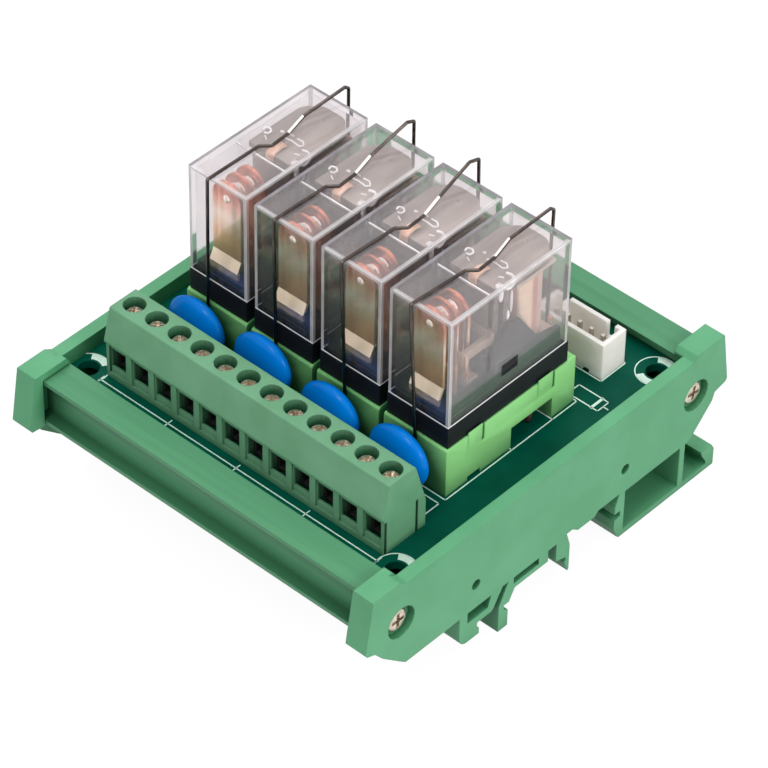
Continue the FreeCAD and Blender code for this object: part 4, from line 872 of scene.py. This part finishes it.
for number, centre in zip(relays, centres):
    shell = softened("relay_cover_%d" % number, shell_edge)
    low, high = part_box("relay_cover_%d" % number)
    cuts = (
        ((low.x + band, 0, 0), (1, 0, 0)),
        ((high.x - band, 0, 0), (1, 0, 0)),
        ((0, low.y + band, 0), (0, 1, 0)),
        ((0, high.y - band, 0), (0, 1, 0)),
        ((0, 0, high.z - band), (0, 0, 1)),
        ((0, 0, low.z + foot_line), (0, 0, 1)),
    )
    for place, direction in cuts:
        bmesh.ops.bisect_plane(shell, geom=shell.verts[:] + shell.edges[:] + shell.faces[:], dist=1e-7,
                               plane_co=place, plane_no=direction)
    # Painted light on the shell: a painted grey along the roof's far left and rear borders, white painted
    # highlights on the rounded edges and the foot line, and paler painted highlight bands along the edges.
    # The roof and side walls are hazier than the front.
    for face in shell.faces:
        spot = face.calc_center_median()
        nearest, second = sorted((spot.x - low.x, high.x - spot.x, spot.y - low.y, high.y - spot.y,
                                  high.z - spot.z))[:2]
        if nearest >= skin:
            continue
        on_roof = spot.z > high.z - skin
        if on_roof and (spot.x < low.x + band or spot.y > high.y - band):
            face.material_index = finishes.index(cover_edge)
        elif spot.z < low.z + foot_line or second < shell_edge:
            face.material_index = finishes.index(cover_rim)
        elif second < band:
            face.material_index = finishes.index(cover_band)
        elif on_roof:
            face.material_index = finishes.index(cover_roof)
        elif spot.y > low.y + skin:
            face.material_index = finishes.index(cover_side)
    cover = new_piece("cover_%d" % number, shell, cover_clear,
                      ("relay_cover_%d" % number,))
    for finish in finishes[1:]:
        cover.data.materials.append(finish)
    # The raised marks, beads and rib take the white painted highlight material.
    marks = []
    for thickness, mark in roof_marks:
        route = [from_relay(centre, *place) for place in mark]
        marks.append(bent_rod(route, (mark_bend,) * len(mark), thickness * mm))
    beads = bmesh.new()
    for (x, y, z), size in roof_beads:
        stretched = Matrix.Diagonal([half * mm for half in size] + [1])
        bmesh.ops.create_uvsphere(beads, u_segments=16, v_segments=12, radius=1,
                                  matrix=Matrix.Translation(from_relay(centre, x, y, z)) @ stretched)
    rib = bmesh.new()
    block(rib, (centre.x - rib_half, centre.x + rib_half), rib_depth, rib_heights)
    new_piece("cover_marks_%d" % number, merged(marks + [beads, rib]), cover_rim,
              smooth_angle=50)


# Wire clips: spring wire bent over each relay, its ends hooked in the socket's end walls.
# A painted highlight brightens the top of a stretch over the roof, and each clip leans a little
# differently.

spring_wire = surface("spring_wire", paint(98, 88, 84), paint(76, 68, 65), metallic=1.0,
                      patch_scale=500, roughness=0.2, grain_scale=3500, grain_depth=0.1,
                      edge_radius=0.0)
wire_highlight = surface("wire_highlight", paint(255, 250, 244), paint(250, 240, 230), metallic=0.1,
                    patch_scale=700, roughness=0.3, grain_scale=3500, grain_depth=0.1, edge_radius=0.0)
wire_radius = 0.0003
front_x, rear_x = -1.2, -0.2
front_y, rear_y = -14.58, 17.18
hook_z, over_z = 5.0, 35.98
highlight_start, highlight_end, highlight_above = 0.0026, 0.0074, print_base + 0.03616
clip_bends = (0.4, 0.4, 0.5, 0.3, 0.3, 0.15, 0.15, 0.4, 0.5, 0.4)
clip_leans = (
    (0.0, -1.5, -0.2, 16.3, 37.4),
    (0.2, -0.8, -0.4, 15.5, 38.5),
    (0.45, -0.2, -1.0, 14.9, 38.5),
    (0.7, 0.4, 0.3, 16.3, 37.2),
)
for number, centre, (lean, leg_x, tip_x, tip_y, tip_z) in zip(relays, centres, clip_leans):
    route = [from_relay(centre, *point) for point in (
        (front_x, -13.05, hook_z), (front_x, front_y, hook_z), (leg_x, front_y, 9.0),
        (front_x, front_y, over_z), (lean - 1.1, -2.9, over_z), (lean + 0.35, -1.4, over_z),
        (lean + 0.15, 2.5, over_z), (lean - 1.15, 7.5, over_z), (tip_x, tip_y, tip_z),
        (tip_x, rear_y, tip_z - 0.7), (rear_x, rear_y, hook_z), (rear_x, 15.65, hook_z),
    )]
    wire = bent_rod(route, [bend * mm for bend in clip_bends], wire_radius)
    # Painted highlight: the top of a short stretch over the roof takes the bright wire material.
    for face in wire.faces:
        spot = face.calc_center_median()
        if highlight_start < spot.y < highlight_end and spot.z > highlight_above:
            face.material_index = 1
    clip = new_piece("clip_%d" % number, wire, spring_wire,
                     ("wire_clip_%d" % number,), smooth_angle=60)
    clip.data.materials.append(wire_highlight)


# Control header: a five-way shell of natural nylon at the rear right corner, open towards the rear.
# Light passes a little way into its walls. The square pins are tinned and soldered through the board.

header_white = surface("header_white", paint(236, 231, 224), paint(228, 222, 214), patch_scale=140,
                       roughness=0.42, grain_scale=3000, grain_depth=0.08)
nylon = header_white.node_tree.nodes["Principled BSDF"].inputs
nylon["Subsurface Weight"].default_value = 0.6
nylon["Subsurface Radius"].default_value = (1.0, 0.9, 0.8)
nylon["Subsurface Scale"].default_value = 0.003
dress("header_housing", header_white)
dress("header_pins", tinned)


# Floor: a pale sheet that runs out of view, with only the soft shadow of the board on it.
# Seen directly it is nearly white; for the light that it sends back it is a duller grey.

floor_half = 3.0
floor_shape = bmesh.new()
bmesh.ops.create_grid(floor_shape, x_segments=1, y_segments=1, size=floor_half)
floor_mesh = bpy.data.meshes.new("floor")
floor_shape.to_mesh(floor_mesh)
floor_shape.free()
floor = bpy.data.objects.new("floor", floor_mesh)
bpy.context.scene.collection.objects.link(floor)
floor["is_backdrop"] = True
paper = bpy.data.materials.new("paper")
paper.use_nodes = True
tree = paper.node_tree
tree.nodes.remove(tree.nodes["Principled BSDF"])
output = tree.nodes["Material Output"]


def seen_directly(tree):
    """One where the camera, a reflection or a clear piece looks at the surface, otherwise zero."""
    path = tree.nodes.new("ShaderNodeLightPath")
    first = tree.nodes.new("ShaderNodeMath")
    first.operation = "MAXIMUM"
    tree.links.new(path.outputs["Is Camera Ray"], first.inputs[0])
    tree.links.new(path.outputs["Is Glossy Ray"], first.inputs[1])
    second = tree.nodes.new("ShaderNodeMath")
    second.operation = "MAXIMUM"
    tree.links.new(first.outputs[0], second.inputs[0])
    tree.links.new(path.outputs["Is Transmission Ray"], second.inputs[1])
    return second.outputs[0]


bounced_grey = (0.4, 0.4, 0.4, 1)
shadow_grey = (0.09, 0.09, 0.09, 1)
seen_level = 0.94
lit = tree.nodes.new("ShaderNodeBsdfDiffuse")
lit.inputs["Color"].default_value = bounced_grey
shadowed = tree.nodes.new("ShaderNodeBsdfDiffuse")
shadowed.inputs["Color"].default_value = shadow_grey
lift = tree.nodes.new("ShaderNodeEmission")
lift.inputs["Strength"].default_value = seen_level
both = tree.nodes.new("ShaderNodeAddShader")
choice = tree.nodes.new("ShaderNodeMixShader")
tree.links.new(shadowed.outputs[0], both.inputs[0])
tree.links.new(lift.outputs[0], both.inputs[1])
tree.links.new(seen_directly(tree), choice.inputs[0])
tree.links.new(lit.outputs[0], choice.inputs[1])
tree.links.new(both.outputs[0], choice.inputs[2])
tree.links.new(choice.outputs[0], output.inputs["Surface"])
floor_mesh.materials.append(paper)


# Light: a white studio that is brighter on the right and overhead, with three soft lamps.
# Seen directly, in a reflection or through a clear piece, the studio is plain white.

brighter_side = (0.7, 0.1, 0.5)
dim_level, full_level = 0.36, 0.95
world = bpy.data.worlds.new("studio")
bpy.context.scene.world = world
world.use_nodes = True
tree = world.node_tree
plain = tree.nodes["Background"]
plain.inputs["Color"].default_value = (1, 1, 1, 1)
heading = tree.nodes.new("ShaderNodeTexCoord")
facing = tree.nodes.new("ShaderNodeVectorMath")
facing.operation = "DOT_PRODUCT"
facing.inputs[1].default_value = brighter_side
tree.links.new(heading.outputs["Generated"], facing.inputs[0])
fall = tree.nodes.new("ShaderNodeMapRange")
fall.inputs["From Min"].default_value = -1
fall.inputs["To Min"].default_value = dim_level
fall.inputs["To Max"].default_value = full_level
tree.links.new(facing.outputs["Value"], fall.inputs["Value"])
tree.links.new(fall.outputs[0], plain.inputs["Strength"])
bright = tree.nodes.new("ShaderNodeBackground")
bright.inputs["Color"].default_value = (1, 1, 1, 1)
bright.inputs["Strength"].default_value = 1.0
choice = tree.nodes.new("ShaderNodeMixShader")
tree.links.new(seen_directly(tree), choice.inputs[0])
tree.links.new(plain.outputs[0], choice.inputs[1])
tree.links.new(bright.outputs[0], choice.inputs[2])
tree.links.new(choice.outputs[0], tree.nodes["World Output"].inputs["Surface"])

aim = Vector((0, 0, 0.025))
for name, place, size, power in (
    ("overhead", (-0.2, 0.2, 0.9), 0.35, 2.2),
    ("side", (0.9, 0.0, 0.45), 0.35, 4.5),
    ("front", (0.1, -0.55, 0.85), 0.3, 3.4),
):
    lamp = bpy.data.lights.new(name, "AREA")
    lamp.size = size
    lamp.energy = power
    held = bpy.data.objects.new(name, lamp)
    held.location = place
    held.rotation_mode = "QUATERNION"
    held.rotation_quaternion = (aim - held.location).to_track_quat("-Z", "Y")
    bpy.context.scene.collection.objects.link(held)


# Camera: a long lens from the front right and above, where the photograph was taken.
# Its place and turn were solved from the photo's straight edges.

lens = bpy.data.cameras.new("camera")
lens.sensor_width = 36
lens.lens = 202.85
lens.clip_start = 0.05
lens.clip_end = 20
camera = bpy.data.objects.new("camera", lens)
right = Vector((0.736504, 0.676298, 0.013500))
down = Vector((0.462829, -0.489276, -0.739188))
ahead = Vector((-0.493306, 0.550663, -0.673364))
stand = Matrix.Translation((0.350326, -0.388265, 0.497601))
camera.matrix_world = stand @ Matrix((right, -down, -ahead)).transposed().to_4x4()
bpy.context.scene.collection.objects.link(camera)
bpy.context.scene.camera = camera
bpy.context.scene.view_settings.view_transform = "Standard"

low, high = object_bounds()
